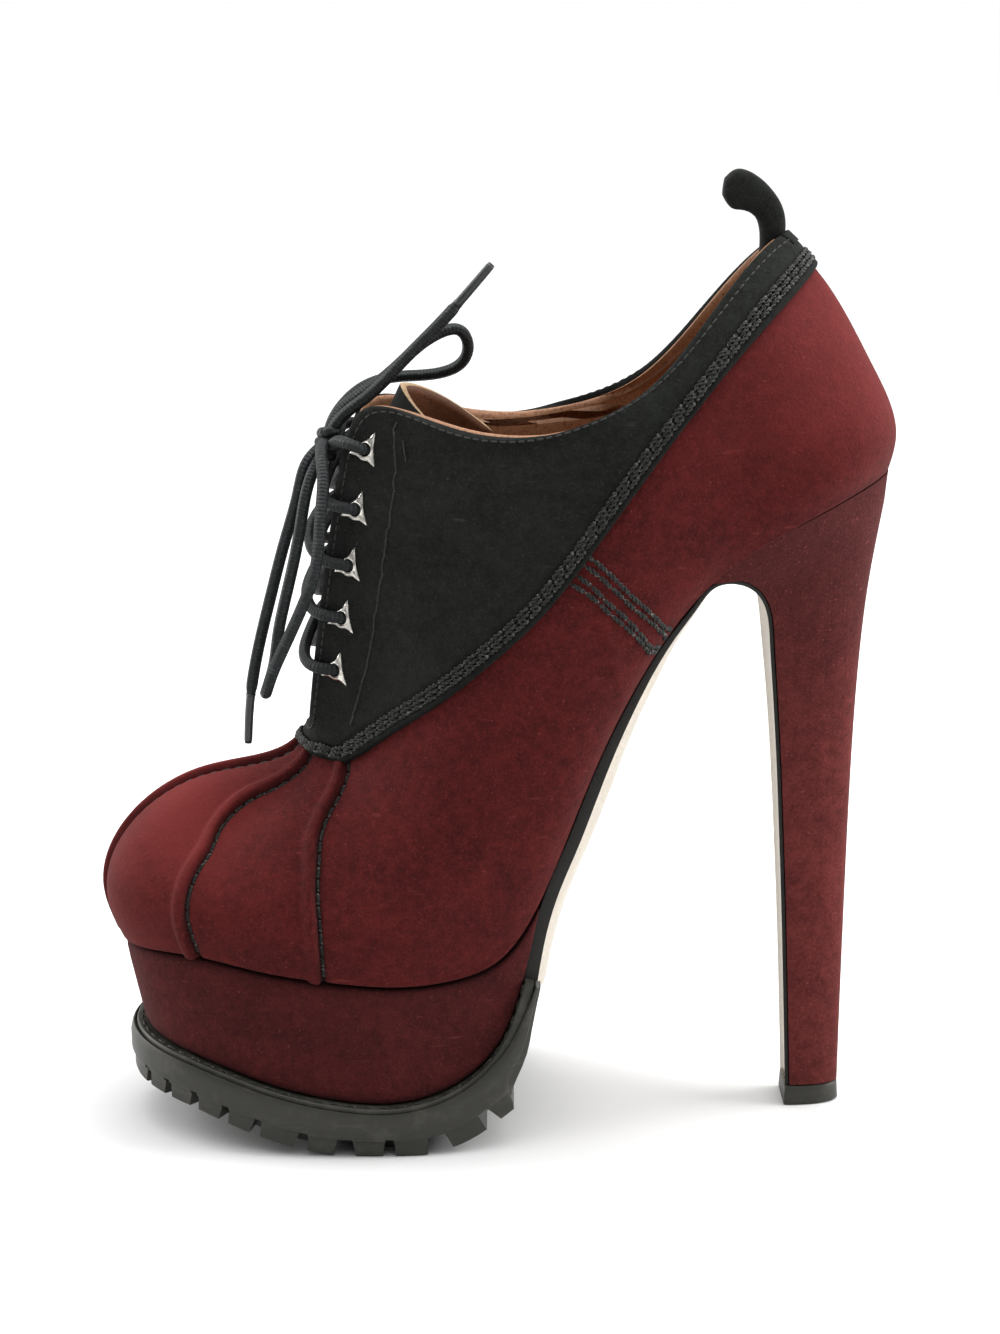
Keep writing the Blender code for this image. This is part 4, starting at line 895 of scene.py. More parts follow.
# Outsole: one moulded black rubber unit with a raised rim, a smooth band round its side, a step, and lugs
# with gaps cut between them, rising at the toe and behind the ball.
Ring = namedtuple("Ring", "share out rim")
RUBBER_RINGS = (
    Ring(0.0, 2.7, 0.0), Ring(0.0, 2.7, 1.5), Ring(0.0, 2.9, 1.7), Ring(0.0, 3.2, 1.7), Ring(0.02, 3.5, 1.2),
    Ring(0.1, 3.7, 0.0), Ring(0.3, 3.6, 0.0), Ring(0.52, 3.45, 0.0), Ring(0.56, 3.25, 0.0),
    Ring(0.585, 2.75, 0.0), Ring(0.61, 2.5, 0.0), Ring(0.8, 2.25, 0.0), Ring(0.97, 2.05, 0.0),
    Ring(1.0, 1.7, 0.0),
)
RIM_RUN_OUT = 10
BACK_HEIGHTS = (6, 8.5, 11, 14.5, 19, 25, 33, 40, 43)
BACK_FORWARD = (0, -0.4, -1.2, 2.6, 2.9, 2.2, 1.7, 0.6, 0)
TOE_FROM, TOE_LENGTH, TOE_FULLER = -76.0, 12.0, 2.0
LugGap = namedtuple("LugGap", "x width across")
LUG_GAPS = (
    LugGap(-87.3, 2.2, False), LugGap(-82, 2.4, False), LugGap(-75.2, 2.6, False), LugGap(-67.8, 2.6, False),
    LugGap(-60, 2.6, False), LugGap(-48.5, 3.2, False), LugGap(-37.4, 5.2, True), LugGap(-26, 3.0, False),
    LugGap(-13, 6.0, True), LugGap(0.5, 4.0, True),
)
LUG_DEPTH, LUG_REACH, SIDE_OVERCUT, OVERCUT, CROSS_LENGTH = 5.0, 12.0, 4.0, 2.0, 120.0
GAP_MOUTH, GAP_FLOOR, GROOVE_DEPTH, LUG_CREASE = 1.3, 0.7, 4.5, 38
LONG_GROOVE_Y, LONG_GROOVE_WIDTH, LONG_GROOVE_FROM, LONG_GROOVE_TO = 17.0, 4.0, -62.0, -8.0

rubber_top = dropped(sole_seat, WELT_THICK + 2 * GAP)
tread = sole_ring([(row.tread_x, row.inner, row.outer, row.tread_z) for row in SOLE], SOLE_STEPS)
tread[:, 2] = np.maximum(tread[:, 2], 0)
tread[:, 0] -= TOE_FULLER * np.clip((TOE_FROM - tread[:, 0]) / TOE_LENGTH, 0, 1)
ends = np.minimum(np.arange(len(tread)), np.arange(len(tread))[::-1])
rim_fade = np.clip(ends / RIM_RUN_OUT, 0, 1)[:, None]
back = np.where(tread[:, 0] > 0, np.interp(tread[:, 2], BACK_HEIGHTS, BACK_FORWARD), 0)
rings = []
for row in RUBBER_RINGS:
    ring = grown(rubber_top + (tread - rubber_top) * row.share, row.out)
    ring = ring + (dropped(ring, -row.rim) - ring) * rim_fade
    toe = np.clip((TOE_FROM - ring[:, 0]) / TOE_LENGTH, 0, 1)
    ring[:, 0] += toe * (row.share**2 - row.share) * (tread - rubber_top)[:, 0]
    ring[:, 0] -= back * row.share
    ring[:, 2] = np.maximum(ring[:, 2], 0)
    rings.append(ring)
outsole = loft("outsole_unit", rings, [RUBBER])


def tread_frame(x, side):
    """Point on the edge of the tread at this place along the sole, with inward, tangent and up directions."""
    half = len(tread) // 2
    edge = tread[half:] if side > 0 else tread[half::-1]
    normals = side_normals(edge[:, [0, 2]])
    i = int(np.argmin(abs(edge[:, 0] - x)))
    point = np.array([np.interp(x, edge[:, 0], edge[:, k]) for k in range(3)])
    run = unit(edge[min(i + 1, len(edge) - 1)] - edge[max(i - 1, 0)])
    up = np.array([-normals[i, 0], 0, -normals[i, 1]])
    inward = unit(np.cross(up, run) * side)
    return point, inward, np.cross(inward, up), up


gap_frames = []
for gap, side in itertools.product(LUG_GAPS, (-1, 1)):
    point, inward, tangent, up = tread_frame(gap.x, side)
    if not gap.across:
        middle = point + inward * (LUG_REACH - SIDE_OVERCUT) / 2
        gap_frames.append((middle, inward, tangent, up, LUG_REACH + SIDE_OVERCUT, gap.width, LUG_DEPTH))
    elif side < 0:
        across = np.array([0.0, 1.0, 0.0])
        middle = point * (1, 0, 1)
        gap_frames.append((middle, across, np.cross(across, up), up, CROSS_LENGTH, gap.width, LUG_DEPTH))
for side in (-1, 1):
    middle = np.array([(LONG_GROOVE_FROM + LONG_GROOVE_TO) / 2, side * LONG_GROOVE_Y, 0.0])
    groove_length = LONG_GROOVE_TO - LONG_GROOVE_FROM
    gap_frames.append((middle, *np.eye(3), groove_length, LONG_GROOVE_WIDTH, GROOVE_DEPTH))
boxes = bmesh.new()
for middle, along, across, up, length, width, depth in gap_frames:
    for corner in bmesh.ops.create_cube(boxes, size=1.0)["verts"]:
        a, b, c = corner.co
        spread, rise = (GAP_FLOOR, depth) if c > 0 else (GAP_MOUTH, -OVERCUT)
        corner.co = (middle + along * a * length + across * b * width * spread + up * rise + MIDDLE) * MM
boxes.normal_update()
bmesh.ops.recalc_face_normals(boxes, faces=boxes.faces)
cutter_mesh = bpy.data.meshes.new("lug_gaps")
boxes.to_mesh(cutter_mesh)
boxes.free()
cutter = bpy.data.objects.new("lug_gaps", cutter_mesh)
bpy.context.scene.collection.objects.link(cutter)
cut = outsole.modifiers.new("lugs", "BOOLEAN")
cut.operation = "DIFFERENCE"
cut.solver = "EXACT"
cut.use_self = True
cut.object = cutter
bpy.context.view_layer.update()
cut_mesh = bpy.data.meshes.new_from_object(outsole.evaluated_get(bpy.context.evaluated_depsgraph_get()))
outsole.modifiers.clear()
outsole.data = cut_mesh
bpy.data.objects.remove(cutter)
outsole.data.shade_smooth()
outsole.data.set_sharp_from_angle(angle=math.radians(LUG_CREASE))
fit(outsole, "black_rubber", "outsole")


# Waist sole: thin sole leather from the platform up the waist and down the breast of the heel, its edge inked
# black and its rounded underside left pale.
Waist = namedtuple("Waist", "name last_line inner outer thick bulge")
WAIST_START = (7.8, 41.0)
WAIST = (
    Waist("platform_end", 7.5, 29.6, 33.2, 3.4, 3.0),
    Waist("waist_low", 8, 29.2, 32.7, 3.2, 4.2),
    Waist("waist_mid", 9, 25.0, 28.4, 3.0, 4.2),
    Waist("waist_high", 10, 22.6, 25.4, 1.8, 3.4),
    Waist("heel_front", 11, 22.8, 24.6, 0.9, 1.2),
)
WAIST_LINES = np.array([8, 8.5, 9, 9.5, 10, 10.4, 10.75, 11])
Heel = namedtuple("Heel", "name front_x front_z back_x back_z half")
HEEL = (
    Heel("lip", 61.5, 145, 99.2, 162.5, 22.3),
    Heel("arch", 67.3, 141, 97.6, 152.5, 18.5),
    Heel("neck", 70.8, 128, 95.5, 137, 14.5),
    Heel("high", 72.6, 109, 93.8, 114, 11.3),
    Heel("middle", 74.7, 80, 92.8, 83, 9),
    Heel("low", 76.9, 40, 92.2, 41, 7.4),
    Heel("lift_top", 78.4, 5.6, 91.9, 5.6, 6.6),
)
BREAST_THICK, BREAST_HOLLOW, BREAST_INSET, HEEL_STEPS = 0.9, -0.8, 0.5, 8
HEEL_FIRST = 1 + len(WAIST_LINES)
UNDERSIDE, INKED_EDGE, WAIST_CREASE = np.linspace(-1, 1, 21), 0.985, 35


def path_rows(first):
    """Rows down the waist and the breast of the heel from a row number on: numbers, points and normals."""
    feather = LOOPS[FEATHER](place(WAIST_LINES))[:, [0, 2]]
    feather = feather + side_normals(feather) * GAP
    rows = np.vstack([[WAIST_START], feather, [(row.front_x, row.front_z) for row in HEEL]])
    knots = running_length(rows)
    path = cubic_through(knots, rows)
    numbers = np.arange(first, len(knots) - 1 + 1e-6, 1 / HEEL_STEPS)
    at = np.interp(numbers, range(len(knots)), knots)
    run = unit(path(at + 0.05) - path(at - 0.05))
    return numbers, path(at), np.stack([run[:, 1], -run[:, 0]], axis=1)


SOLE_LEATHER = smooth_leather("sole_leather", (0.46, 0.41, 0.34), (0.58, 0.53, 0.45), 0.42, 800, 0.9)
EDGE_INK = smooth_leather("edge_ink", (0.004, 0.0036, 0.0027), (0.011, 0.0098, 0.0075), 0.8, 900)
waist_table = np.array([row[1:] for row in WAIST])
lines = np.concatenate([[WAIST[0].last_line], WAIST_LINES])
sizes = [[np.interp(line, waist_table[:, 0], column) for column in waist_table.T[1:]] for line in lines]
sizes += [(row.half - BREAST_INSET, row.half - BREAST_INSET, BREAST_THICK, BREAST_HOLLOW) for row in HEEL]
sizes = np.array(sizes)
rings = []
for number, point, normal in zip(*path_rows(0)):
    inner, outer, thick, bulge = [np.interp(number, range(len(sizes)), column) for column in sizes.T]
    halves = np.where(UNDERSIDE < 0, inner, outer)
    section = [(-inner, 0.0), (-inner, thick * 0.5)]
    section += list(zip(UNDERSIDE * halves * INKED_EDGE, thick + bulge * (1 - UNDERSIDE**4)))
    section += [(outer, thick * 0.5), (outer, 0.0)]
    rings.append([(point[0] + normal[0] * d, y, point[1] + normal[1] * d) for y, d in section])
waist = loft("waist_sole", rings, [EDGE_INK, SOLE_LEATHER], WAIST_CREASE)
corners_each = len(rings[0])
for face in waist.data.polygons:
    inside = [2 <= v % corners_each <= corners_each - 3 for v in face.vertices]
    face.material_index = 1 if all(inside) else 0
fit(waist, "sole_leather", "waist_sole")


# Heel: a slim moulded block wrapped in the burgundy suede and nailed on from inside, its cup seated under the
# counter.
HEEL_ROUND, HEEL_SEAT_FRONT, HEEL_CREASE = 2.4, 10.98, 60
SEAT_LINES, SEAT_GAPS = (11, 12.3, 14), (-0.7, -0.1, GAP)
CUP_FROM, CUP_HEIGHT, CUP_SHADE = 95, 50, 0.55
HEEL_SHARES = 1 - (1 - np.linspace(0, 1, 26)) ** 2


def heel_ring(front, back, half):
    """A section with a flat front and a rounded back, from the front of the inner side round the back."""
    front, back = np.array(front), np.array(back)
    middle = front + (back - front) * HEEL_SHARES[:, None]
    width = half * np.maximum(1 - HEEL_SHARES**HEEL_ROUND, 0) ** (1 / HEEL_ROUND)
    inner = np.stack([middle[:, 0], -width, middle[:, 1]], axis=1)
    return np.vstack([inner, (inner * (1, -1, 1))[-2::-1]])


seat_lines = HEEL_SEAT_FRONT + (len(LAST) - 1 - HEEL_SEAT_FRONT) * HEEL_SHARES
inner, outer = [LOOPS[FEATHER](place(seat_lines, side)) for side in (-1, 1)]
normals = side_normals(inner[:, [0, 2]])
seat_gap = np.interp(seat_lines, SEAT_LINES, SEAT_GAPS)[:, None]
for edge in (inner, outer):
    edge[:, [0, 2]] += normals * seat_gap
rings = [np.vstack([inner, outer[-2::-1]])]
backs = cubic_through(np.arange(len(HEEL)), np.array([(row.back_x, row.back_z, row.half) for row in HEEL]))
for number, front, normal in zip(*path_rows(HEEL_FIRST)):
    back_x, back_z, half = backs(number - HEEL_FIRST)[0]
    rings.append(heel_ring(front - normal * GAP, (back_x, back_z), half))
HEEL_SUEDE = suede("heel_suede", (0.122, 0.0225, 0.0205), (0.056, 0.0098, 0.0090), (0.024, 0.005, 0.0048),
                   (0.15, 0.03, 0.027))
heel = loft("heel_cover", rings, [HEEL_SUEDE], HEEL_CREASE)
heights = np.asarray(rings)[..., 2]
note(heel, "seam_shade", CUP_SHADE * np.clip((heights - CUP_FROM) / CUP_HEIGHT, 0, 1))
fit(heel, "burgundy_suede", "heel")


# Top lift: a hard black rubber wear piece under the heel, nailed up into the block and trimmed a little wider
# than it.
LIFT_RINGS, LIFT_CREASE = ((0.0, -0.1), (0.35, 0.3), (2.6, 0.15), (4.9, 0.0), (5.2, -0.3)), 50
foot = HEEL[-1]
rings = []
for z, grow in LIFT_RINGS:
    front = foot.front_x - BREAST_THICK - grow
    rings.append(heel_ring((front, z), (foot.back_x + grow, z), foot.half + grow))
top_lift = loft("top_lift_wear_piece", rings, [RUBBER], LIFT_CREASE)
fit(top_lift, "black_rubber", "top_lift")


# Pull loop: a strap of black suede folded on itself, which stands up at the back to help the foot in. Its
# ends are sewn inside the collar.
Pull = namedtuple("Pull", "name x z thick")
PULL_LOOP = (
    Pull("foot", 68.6, 223.6, 4.6),
    Pull("mouth", 69.4, 229.2, 6.2),
    Pull("neck", 68.6, 233.6, 7.0),
    Pull("bend", 65.9, 237.0, 8.0),
    Pull("fold", 61.8, 239.2, 9.8),
    Pull("turn", 58.8, 239.8, 8.2),
    Pull("tip", 57.3, 240.0, 4.4),
)
PULL_WIDTH, PULL_SQUARE = 8.0, (0.45, 0.8)
pull_rows = np.array([row[1:] for row in PULL_LOOP])
knots = running_length(pull_rows[:, :2])
curve = cubic_through(knots, pull_rows)
at = np.linspace(0, knots[-1], 44)
run = unit(curve(at + 0.05)[:, :2] - curve(at - 0.05)[:, :2])
turns = math.tau * (np.arange(41) + 0.5) / 41 - math.pi / 2
broad, thin = PULL_SQUARE
rings = []
for (x, z, thick), (run_x, run_z) in zip(curve(at), run):
    across = np.sign(np.cos(turns)) * np.abs(np.cos(turns)) ** broad * PULL_WIDTH / 2
    away = np.sign(np.sin(turns)) * np.abs(np.sin(turns)) ** thin * thick / 2
    rings.append(np.stack([x - run_z * away, across, z + run_x * away], axis=1))
pull_loop = loft("pull_loop_strap", rings, [BLACK])
note(pull_loop, "seam_shade", np.zeros(len(pull_loop.data.vertices)))
fit(pull_loop, "black_suede", "pull_loop")


# Eyelets: ten pressed steel plates, triangles with hollow sides and a rolled rim round the hole, clenched
# through the facings.
EYELET_HEIGHTS = (121.0, 134.5, 148.0, 162.0, 177.0)
EYELET_INSETS = (7.0, 7.0, 7.0, 6.8, 6.0)
EYELET_HOLE, EYELET_LIFT = 3.5, 1.75
EYELET_POINTS = np.array([(4.6, -1.3), (-2.4, 4.5), (-2.9, -4.1)])
EYELET_TURN = math.radians(16)
EYELET_HOLLOW, EYELET_FLARE = (0.03, 0.14, 0.03), (0.16, 0.0, 0.16)
PlateRing = namedtuple("PlateRing", "share swell rise")
PLATE_RINGS = (
    PlateRing(0, 1, -0.3), PlateRing(0, 1, 0.1), PlateRing(0.08, 1, 0.22), PlateRing(0.55, 1, 0.3),
    PlateRing(1, 1.12, 0.4), PlateRing(1, 1.08, 0.55), PlateRing(1, 1.02, 0.58), PlateRing(1, 0.96, 0.5),
    PlateRing(1, 0.92, -0.3), PlateRing(1, 0.92, -1.6),
)
PLATE_CREASE = 50
FACING_LINES = (3.5, 8.0)


def metal(name, colour, tarnish, roughness):
    """Plated metal with faint tarnish and fine scratches."""
    material, tree, skin = new_finish(name)
    dull = ranged(tree, cloud(tree, 500, 4, 0.6), 0.45, 0.75)
    feed(tree, skin, Base_Color=tinted(tree, dull, colour, tarnish), Metallic=1.0,
         Roughness=ranged(tree, dull, 0, 1, roughness, roughness + 0.25))
    embossed(tree, skin, (cloud(tree, 1800, 2, 0.5), 0.15, 0.05))
    return material


STEEL = metal("eyelet_steel", (0.62, 0.6, 0.55), (0.33, 0.31, 0.28), 0.24)


def facing_frame(height, side):
    """Place of a hole at this height on the facing, with forward, up and out, and the edge beside it."""
    lines = np.linspace(*FACING_LINES, 400)
    at = place(lines, side)
    levels = 4 - np.interp(height, EYELET_HEIGHTS, EYELET_INSETS) / edge_span(at)
    i = int(np.argmin(np.abs(on_wall(at, levels)[:, 2] - height)))
    spot, level = at[i:i + 1], levels[i:i + 1]
    normal = wall_normal(spot, level)[0]
    up = LOOPS[EDGE](spot + 1)[0] - LOOPS[EDGE](spot - 1)[0]
    up *= 1 if up[2] > 0 else -1
    up = unit(up - normal * up.dot(normal))
    forward = np.cross(up, normal)
    forward *= 1 if forward[0] < 0 else -1
    hole = on_wall(spot, level)[0]
    edges = LOOPS[EDGE](at)
    return hole, forward, up, normal, edges[np.argmin(np.linalg.norm(edges - hole, axis=1))]


def eyelet_outline(count):
    """A triangle with one point forward and slightly hollow sides, about its hole."""
    points = []
    sides = zip(EYELET_POINTS, np.roll(EYELET_POINTS, -1, axis=0), EYELET_HOLLOW, EYELET_FLARE)
    for first, second, hollow, flare in sides:
        for share in np.linspace(0, 1, count, endpoint=False):
            inward = hollow * math.sin(math.pi * share) + flare * math.sin(math.tau * share) ** 2
            points.append((first + (second - first) * share) * (1 - inward))
    cosine, sine = math.cos(EYELET_TURN), math.sin(EYELET_TURN)
    return np.array(points) @ np.array([(cosine, -sine), (sine, cosine)])


def add_eyelet(name, height, side):
    """A dished plate with a rolled rim, as rings from the outline to the inside of the hole."""
    point, forward, up, normal, _ = facing_frame(height, side)
    outline = eyelet_outline(12)
    turn = np.arctan2(outline[:, 1], outline[:, 0])
    hole = np.stack([np.cos(turn), np.sin(turn)], axis=1) * EYELET_HOLE / 2
    rings = []
    for ring in PLATE_RINGS:
        flat = outline + (hole * ring.swell - outline) * ring.share
        rings.append(point + flat[:, :1] * forward + flat[:, 1:] * up + normal * (EYELET_LIFT + ring.rise))
    rings = np.array(rings)
    faces = grid_faces(*rings.shape[:2], closed=True)
    piece = add_piece(name, rings.reshape(-1, 3), faces, [STEEL], PLATE_CREASE)
    turn_out(piece)
    return fit(piece, "eyelet_steel", name.replace("plate", "eyelet"))


for number, height in enumerate(EYELET_HEIGHTS, start=1):
    add_eyelet(f"plate_inner_{number}", height, -1)
    add_eyelet(f"plate_outer_{number}", height, 1)


# Lace: a round waxed cotton braid. Each strand comes up through a hole, runs over the facing and across the
# throat, and goes under the other facing to the next hole up.
LACE = 3.0
Crossing = namedtuple("Crossing", "number reach")
CROSSINGS = (Crossing(1, 2.6), Crossing(2, 4.2), Crossing(3, 5.6), Crossing(4, 3.2))
UNDER_LESS = 3.2


def braid(name, colour, highlight):
    """Waxed braid: strands crossing over each other round the cord, with painted dull light on their backs.
    """
    material, tree, skin = new_finish(name)
    run = sums(tree, "MULTIPLY", noted(tree, "run"), 3.4)
    turn = sums(tree, "MULTIPLY", noted(tree, "turn"), 3.0)
    one = sums(tree, "SINE", sums(tree, "ADD", run, turn))
    other = sums(tree, "SINE", sums(tree, "SUBTRACT", run, turn))
    weave = ranged(tree, sums(tree, "MULTIPLY", one, other), -1, 1)
    fluff = ranged(tree, cloud(tree, 900, 3, 0.6), 0.45, 0.7)
    # Painted highlight: paler on the raised backs of the strands where the weave rises, together with random
    # fluff.
    pale_share = sums(tree, "MULTIPLY", fluff, ranged(tree, weave, 0.3, 1))
    feed(tree, skin, Base_Color=tinted(tree, pale_share, colour, highlight), Roughness=0.62, Specular_IOR_Level=0.3,
         Sheen_Weight=0.02)
    embossed(tree, skin, (weave, 0.7, 0.35), (cloud(tree, 2200, 2, 0.6), 0.3, 0.12))
    return material


WAXED_BRAID = braid("waxed_cord", (0.0034, 0.0046, 0.005), (0.036, 0.047, 0.05))


LACE_SIDES, LACE_STEP, FIRST_SIDE = 14, 0.8, (0.3, 0.9, 0.4)


def lace_tube(name, route, finish, radii=((0, LACE / 2), (1, LACE / 2))):
    """A round cord through given points, with the path that it follows."""
    route = np.array(route, float)
    knots = running_length(route)
    curve = cubic_through(knots, route)
    path = curve(np.linspace(0, knots[-1], max(int(knots[-1] / LACE_STEP), 8)))
    run = unit(np.gradient(path, axis=0))
    side = unit(np.cross(run[0], FIRST_SIDE))
    turns = np.arange(LACE_SIDES) * math.tau / LACE_SIDES
    radius = np.interp(np.linspace(0, 1, len(path)), *zip(*radii))
    rings = []
    for point, ahead, thick in zip(path, run, radius):
        side = unit(side - ahead * side.dot(ahead))
        over = np.cross(ahead, side)
        rings.append(point + thick * (np.cos(turns)[:, None] * side + np.sin(turns)[:, None] * over))
    first, last = [np.tile(point, (LACE_SIDES, 1)) for point in path[[0, -1]]]
    rings = np.array([first, *rings, last])
    piece = add_piece(name, rings.reshape(-1, 3), grid_faces(*rings.shape[:2], closed=True), [finish])
    lengths = running_length(path)
    lengths = np.concatenate([lengths[:1], lengths, lengths[-1:]])
    note(piece, "run", np.repeat(lengths, LACE_SIDES))
    note(piece, "turn", np.tile(turns, len(rings)))
    return piece, path


HOLE_BELOW, HOLE_ABOVE, PLATE_CLEAR, PLATE_AHEAD, EDGE_CLEAR, EDGE_AHEAD = 3, 1.2, 3.4, 2.3, 2.7, 0.2
UNDER_EDGE, UNDER_AHEAD, UNDER_HOLE = 3.4, 1.0, 3.8


def out_of_hole(height, side):
    """The first points of a strand: up through a hole, over its plate and over the edge of the facing."""
    hole, forward, _, normal, edge = facing_frame(height, side)
    over_plate = hole + normal * PLATE_CLEAR + forward * PLATE_AHEAD
    over_edge = edge + normal * EDGE_CLEAR + forward * EDGE_AHEAD
    return [hole - normal * HOLE_BELOW, hole + normal * HOLE_ABOVE, over_plate, over_edge]


for crossing, side in itertools.product(CROSSINGS, (-1, 1)):
    low, high = EYELET_HEIGHTS[crossing.number - 1:crossing.number + 1]
    hole, far_forward, _, far_normal, far_edge = facing_frame(high, -side)
    edge = facing_frame(low, side)[4]
    middle = (edge + far_edge) / 2
    middle[0] -= crossing.reach if side < 0 else crossing.reach - UNDER_LESS
    under_edge = far_edge - far_normal * UNDER_EDGE - far_forward * UNDER_AHEAD
    route = out_of_hole(low, side) + [middle, under_edge, hole - far_normal * UNDER_HOLE]
    word = "inner" if side < 0 else "outer"
    strand, _ = lace_tube(f"lace_strand_{word}_{crossing.number}", route, WAXED_BRAID)
    fit(strand, "waxed_cord", f"lace_cross_{crossing.number}")


# Bow: the lace's own ends, tied in a bow at the top holes. One loop hangs along the inner side and one lies
# back over the tongue; one end hangs in front, the other stands up behind, and both have a sealed tip.
KNOT_AT = np.array([-41.4, -3.5, 177.2])
LACE_ROUTES = {
    "lace_end_far": (
        (-38.6, -5.5, 182.4), (-30.4, -6, 189.4), (-22.8, -6, 197), (-12.9, -6, 207), (-5.4, -6, 215.3),
        (0, -6, 221.6)),
    "lace_loop_far": (
        (-39.3, 1.5, 183), (-30, 6, 190), (-22, 9, 196.5), (-13.5, 11.5, 202.5), (-8.8, 13, 203.3),
        (-6.2, 16, 199), (-8, 18.5, 194), (-15, 20, 191), (-25, 18, 190.5), (-34, 12.5, 188), (-40, 6, 182)),
    "lace_end_near": (
        (-46.3, -8, 172.4), (-48.5, -9, 165), (-51.8, -9.5, 153.5), (-56, -10, 138), (-59.2, -10, 125.2),
        (-61.5, -10, 112), (-62.3, -10, 100.5)),
    "lace_loop_near": (
        (-42.4, -12, 176.2), (-41.6, -18.5, 171), (-42, -23.5, 162), (-42.6, -26, 153.5), (-43.9, -27, 147),
        (-46.6, -27.1, 139.9), (-51.2, -27.1, 129.8), (-54.8, -26.9, 121.5), (-55.9, -25.5, 118.2),
        (-56.4, -22.3, 116.9), (-56, -19.1, 118.2), (-55, -17.7, 121.5), (-53.6, -17.4, 130),
        (-51, -16.8, 141.9), (-47.6, -14.5, 157.9), (-46, -12.8, 166.5)),
}
KNOT_TURNS, KNOT_HALF, KNOT_LEAN, KNOT_SHARE, KNOT_POINTS = 3.2, np.array([1.7, 2.6, 3.7]), 0.9, 0.1, 60
turns = np.linspace(0, math.tau * KNOT_TURNS, KNOT_POINTS)
climb = np.linspace(-1, 1, KNOT_POINTS)
wraps = np.stack([np.cos(turns), np.sin(turns), climb], axis=1) * KNOT_HALF
wraps[:, 0] += KNOT_LEAN * climb
knot, _ = lace_tube("bow_knot", KNOT_AT + wraps, WAXED_BRAID)
fit(knot, "waxed_cord", "lace_knot")
for side, word in ((-1, "inner"), (1, "outer")):
    into_knot = [KNOT_AT + (0.8, side * 2.0, -0.5), KNOT_AT - (0.4, 0, 0.3)]
    route = out_of_hole(EYELET_HEIGHTS[-1], side) + into_knot
    strand, _ = lace_tube(f"lace_strand_{word}_top", route, WAXED_BRAID)
    fit(strand, "waxed_cord", "lace_knot")

SEALED_TIP = smooth_leather("sealed_tip", (0.012, 0.0135, 0.014), (0.03, 0.033, 0.034), 0.35, 1500)
TIP_LENGTH, TIP_BLEND, TIP_CORE = 13.5, 0.02, (0.95, 0.9)
TIP_RADII = ((0, 1.3), (0.04, 1.15), (0.96, 1.05), (1, 0.85))
for name, route in LACE_ROUTES.items():
    tipped = "end" in name
    in_knot, back_in_knot = [KNOT_AT + KNOT_SHARE * (np.array(route[i]) - KNOT_AT) for i in (0, -1)]
    route = [in_knot, *route] if tipped else [in_knot, *route, back_in_knot]
    tip_from = 1 - TIP_LENGTH / running_length(np.array(route))[-1]
    radii = [(0, LACE / 2), (1, LACE / 2)]
    if tipped:
        before_tip, in_tip = (tip_from - TIP_BLEND, LACE / 2), (tip_from + TIP_BLEND, TIP_CORE[0])
        radii = [(0, LACE / 2), before_tip, in_tip, (1, TIP_CORE[1])]
    cord, path = lace_tube(name.replace("lace", "bow"), route, WAXED_BRAID, radii)
    fit(cord, "waxed_cord", name)
    if tipped:
        tip_path = path[int(tip_from * len(path)):]
        tip, _ = lace_tube(name.replace("lace", "tip_of"), tip_path, SEALED_TIP, TIP_RADII)
        fit(tip, "waxed_cord")
    path = (path + MIDDLE) * MM


# Studio: a pale paper floor, darker near the boot with painted shade, that runs into a white surround, a
# large soft lamp at each side and one above.
# The camera stands at the height and angle of a product picture from the inner side.
FLOOR_HALF, FLOOR_DROP = 200.0, 0.0001
FLOOR_NEAR, FLOOR_FAR, PAPER_SHADED_NEAR, PAPER_FAR = 0.25, 1.6, (0.61, 0.61, 0.61), (0.73, 0.73, 0.73)
SKY_OVERHEAD, SKY_LEVEL, SKY_HORIZON, SKY_BAND, SKY_POWER = 3.9, 0.12, 1.0, 0.2, 4.0
corners = np.array([(-1, -1, 0), (1, -1, 0), (1, 1, 0), (-1, 1, 0)]) * FLOOR_HALF / MM
floor = add_piece("floor", corners, [(0, 1, 2, 3)], [])
material, tree, paper = new_finish("white_paper")
spot = add_node(tree, "TexCoord").outputs["Object"]
away = add_node(tree, "VectorMath", {"operation": "LENGTH"}, _0=spot).outputs["Value"]
grain = ranged(tree, cloud(tree, 900, 2, 0.5), 0.3, 0.7, -0.03, 0.03)
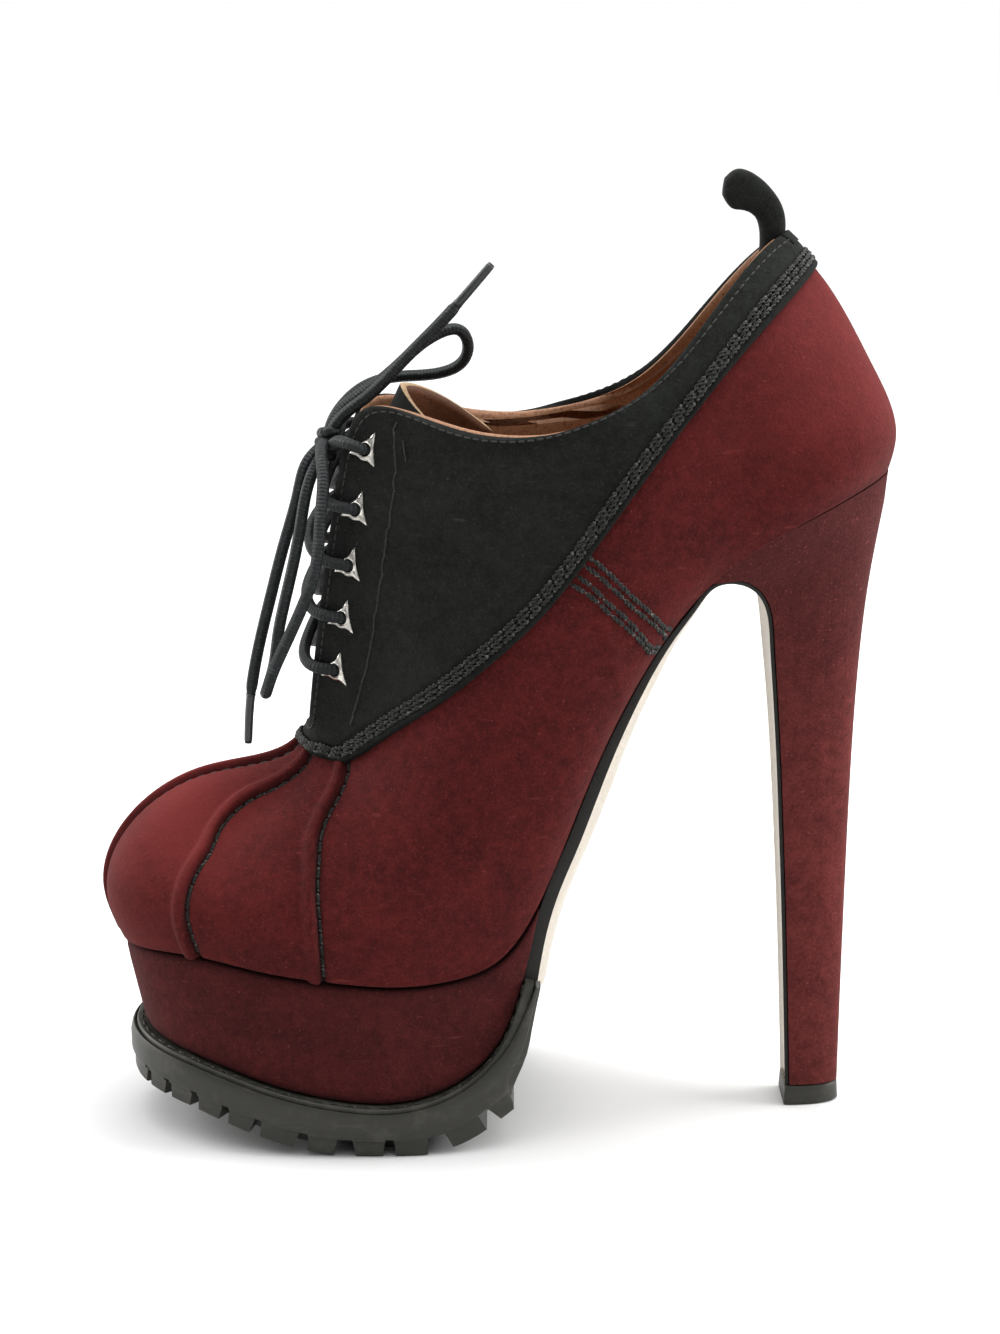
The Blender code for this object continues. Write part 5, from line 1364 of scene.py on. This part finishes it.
# Painted shade: the paper is darker near the boot and grows paler away from it.
paleness = sums(tree, "ADD", ranged(tree, away, FLOOR_NEAR, FLOOR_FAR), grain)
feed(tree, paper, Base_Color=tinted(tree, paleness, PAPER_SHADED_NEAR, PAPER_FAR), Roughness=0.9)
floor.data.materials.append(material)
floor.location.z = -FLOOR_DROP
world = bpy.data.worlds.new("white_surround")
world.use_nodes = True
sky = world.node_tree
heading = add_node(sky, "SeparateXYZ", Vector=add_node(sky, "TexCoord").outputs["Generated"]).outputs["Z"]
overhead = sums(sky, "POWER", sums(sky, "MAXIMUM", heading, 0.0), SKY_POWER)
rim = ranged(sky, heading, 0.0, SKY_BAND, SKY_HORIZON, SKY_LEVEL)
glow = sums(sky, "ADD", sums(sky, "MULTIPLY", overhead, SKY_OVERHEAD), rim)
feed(sky, sky.nodes["Background"], Strength=glow, Color=(1.0, 1.0, 1.0))
bpy.context.scene.world = world
bpy.context.scene.view_settings.view_transform = "Standard"
Lamp = namedtuple("Lamp", "name place size watts")
LAMPS = (
    Lamp("left", (-1.1, 0.4, 0.55), 0.8, 14),
    Lamp("right", (1.1, 0.05, 0.6), 0.8, 20),
    Lamp("above", (0.1, 0.2, 1.3), 0.9, 8),
)
TARGET = Vector((0.0, 0.0, 0.11))
for lamp in LAMPS:
    light = bpy.data.lights.new(lamp.name, "AREA")
    light.shape = "SQUARE"
    light.size = lamp.size
    light.energy = lamp.watts
    holder = bpy.data.objects.new(lamp.name + "_lamp", light)
    holder.location = lamp.place
    holder.rotation_euler = (TARGET - Vector(lamp.place)).to_track_quat("-Z", "Y").to_euler()
    bpy.context.scene.collection.objects.link(holder)
CAMERA_AT, CAMERA_TILT, CAMERA_LENS, CAMERA_SIGHT = (0.0018, -0.6811, 0.285), math.radians(76.2), 73.4, 500
camera = bpy.data.objects.new("camera", bpy.data.cameras.new("camera"))
camera.location = CAMERA_AT
camera.rotation_euler = (CAMERA_TILT, 0, 0)
camera.data.lens = CAMERA_LENS
camera.data.clip_end = CAMERA_SIGHT
bpy.context.scene.collection.objects.link(camera)
bpy.context.scene.camera = camera
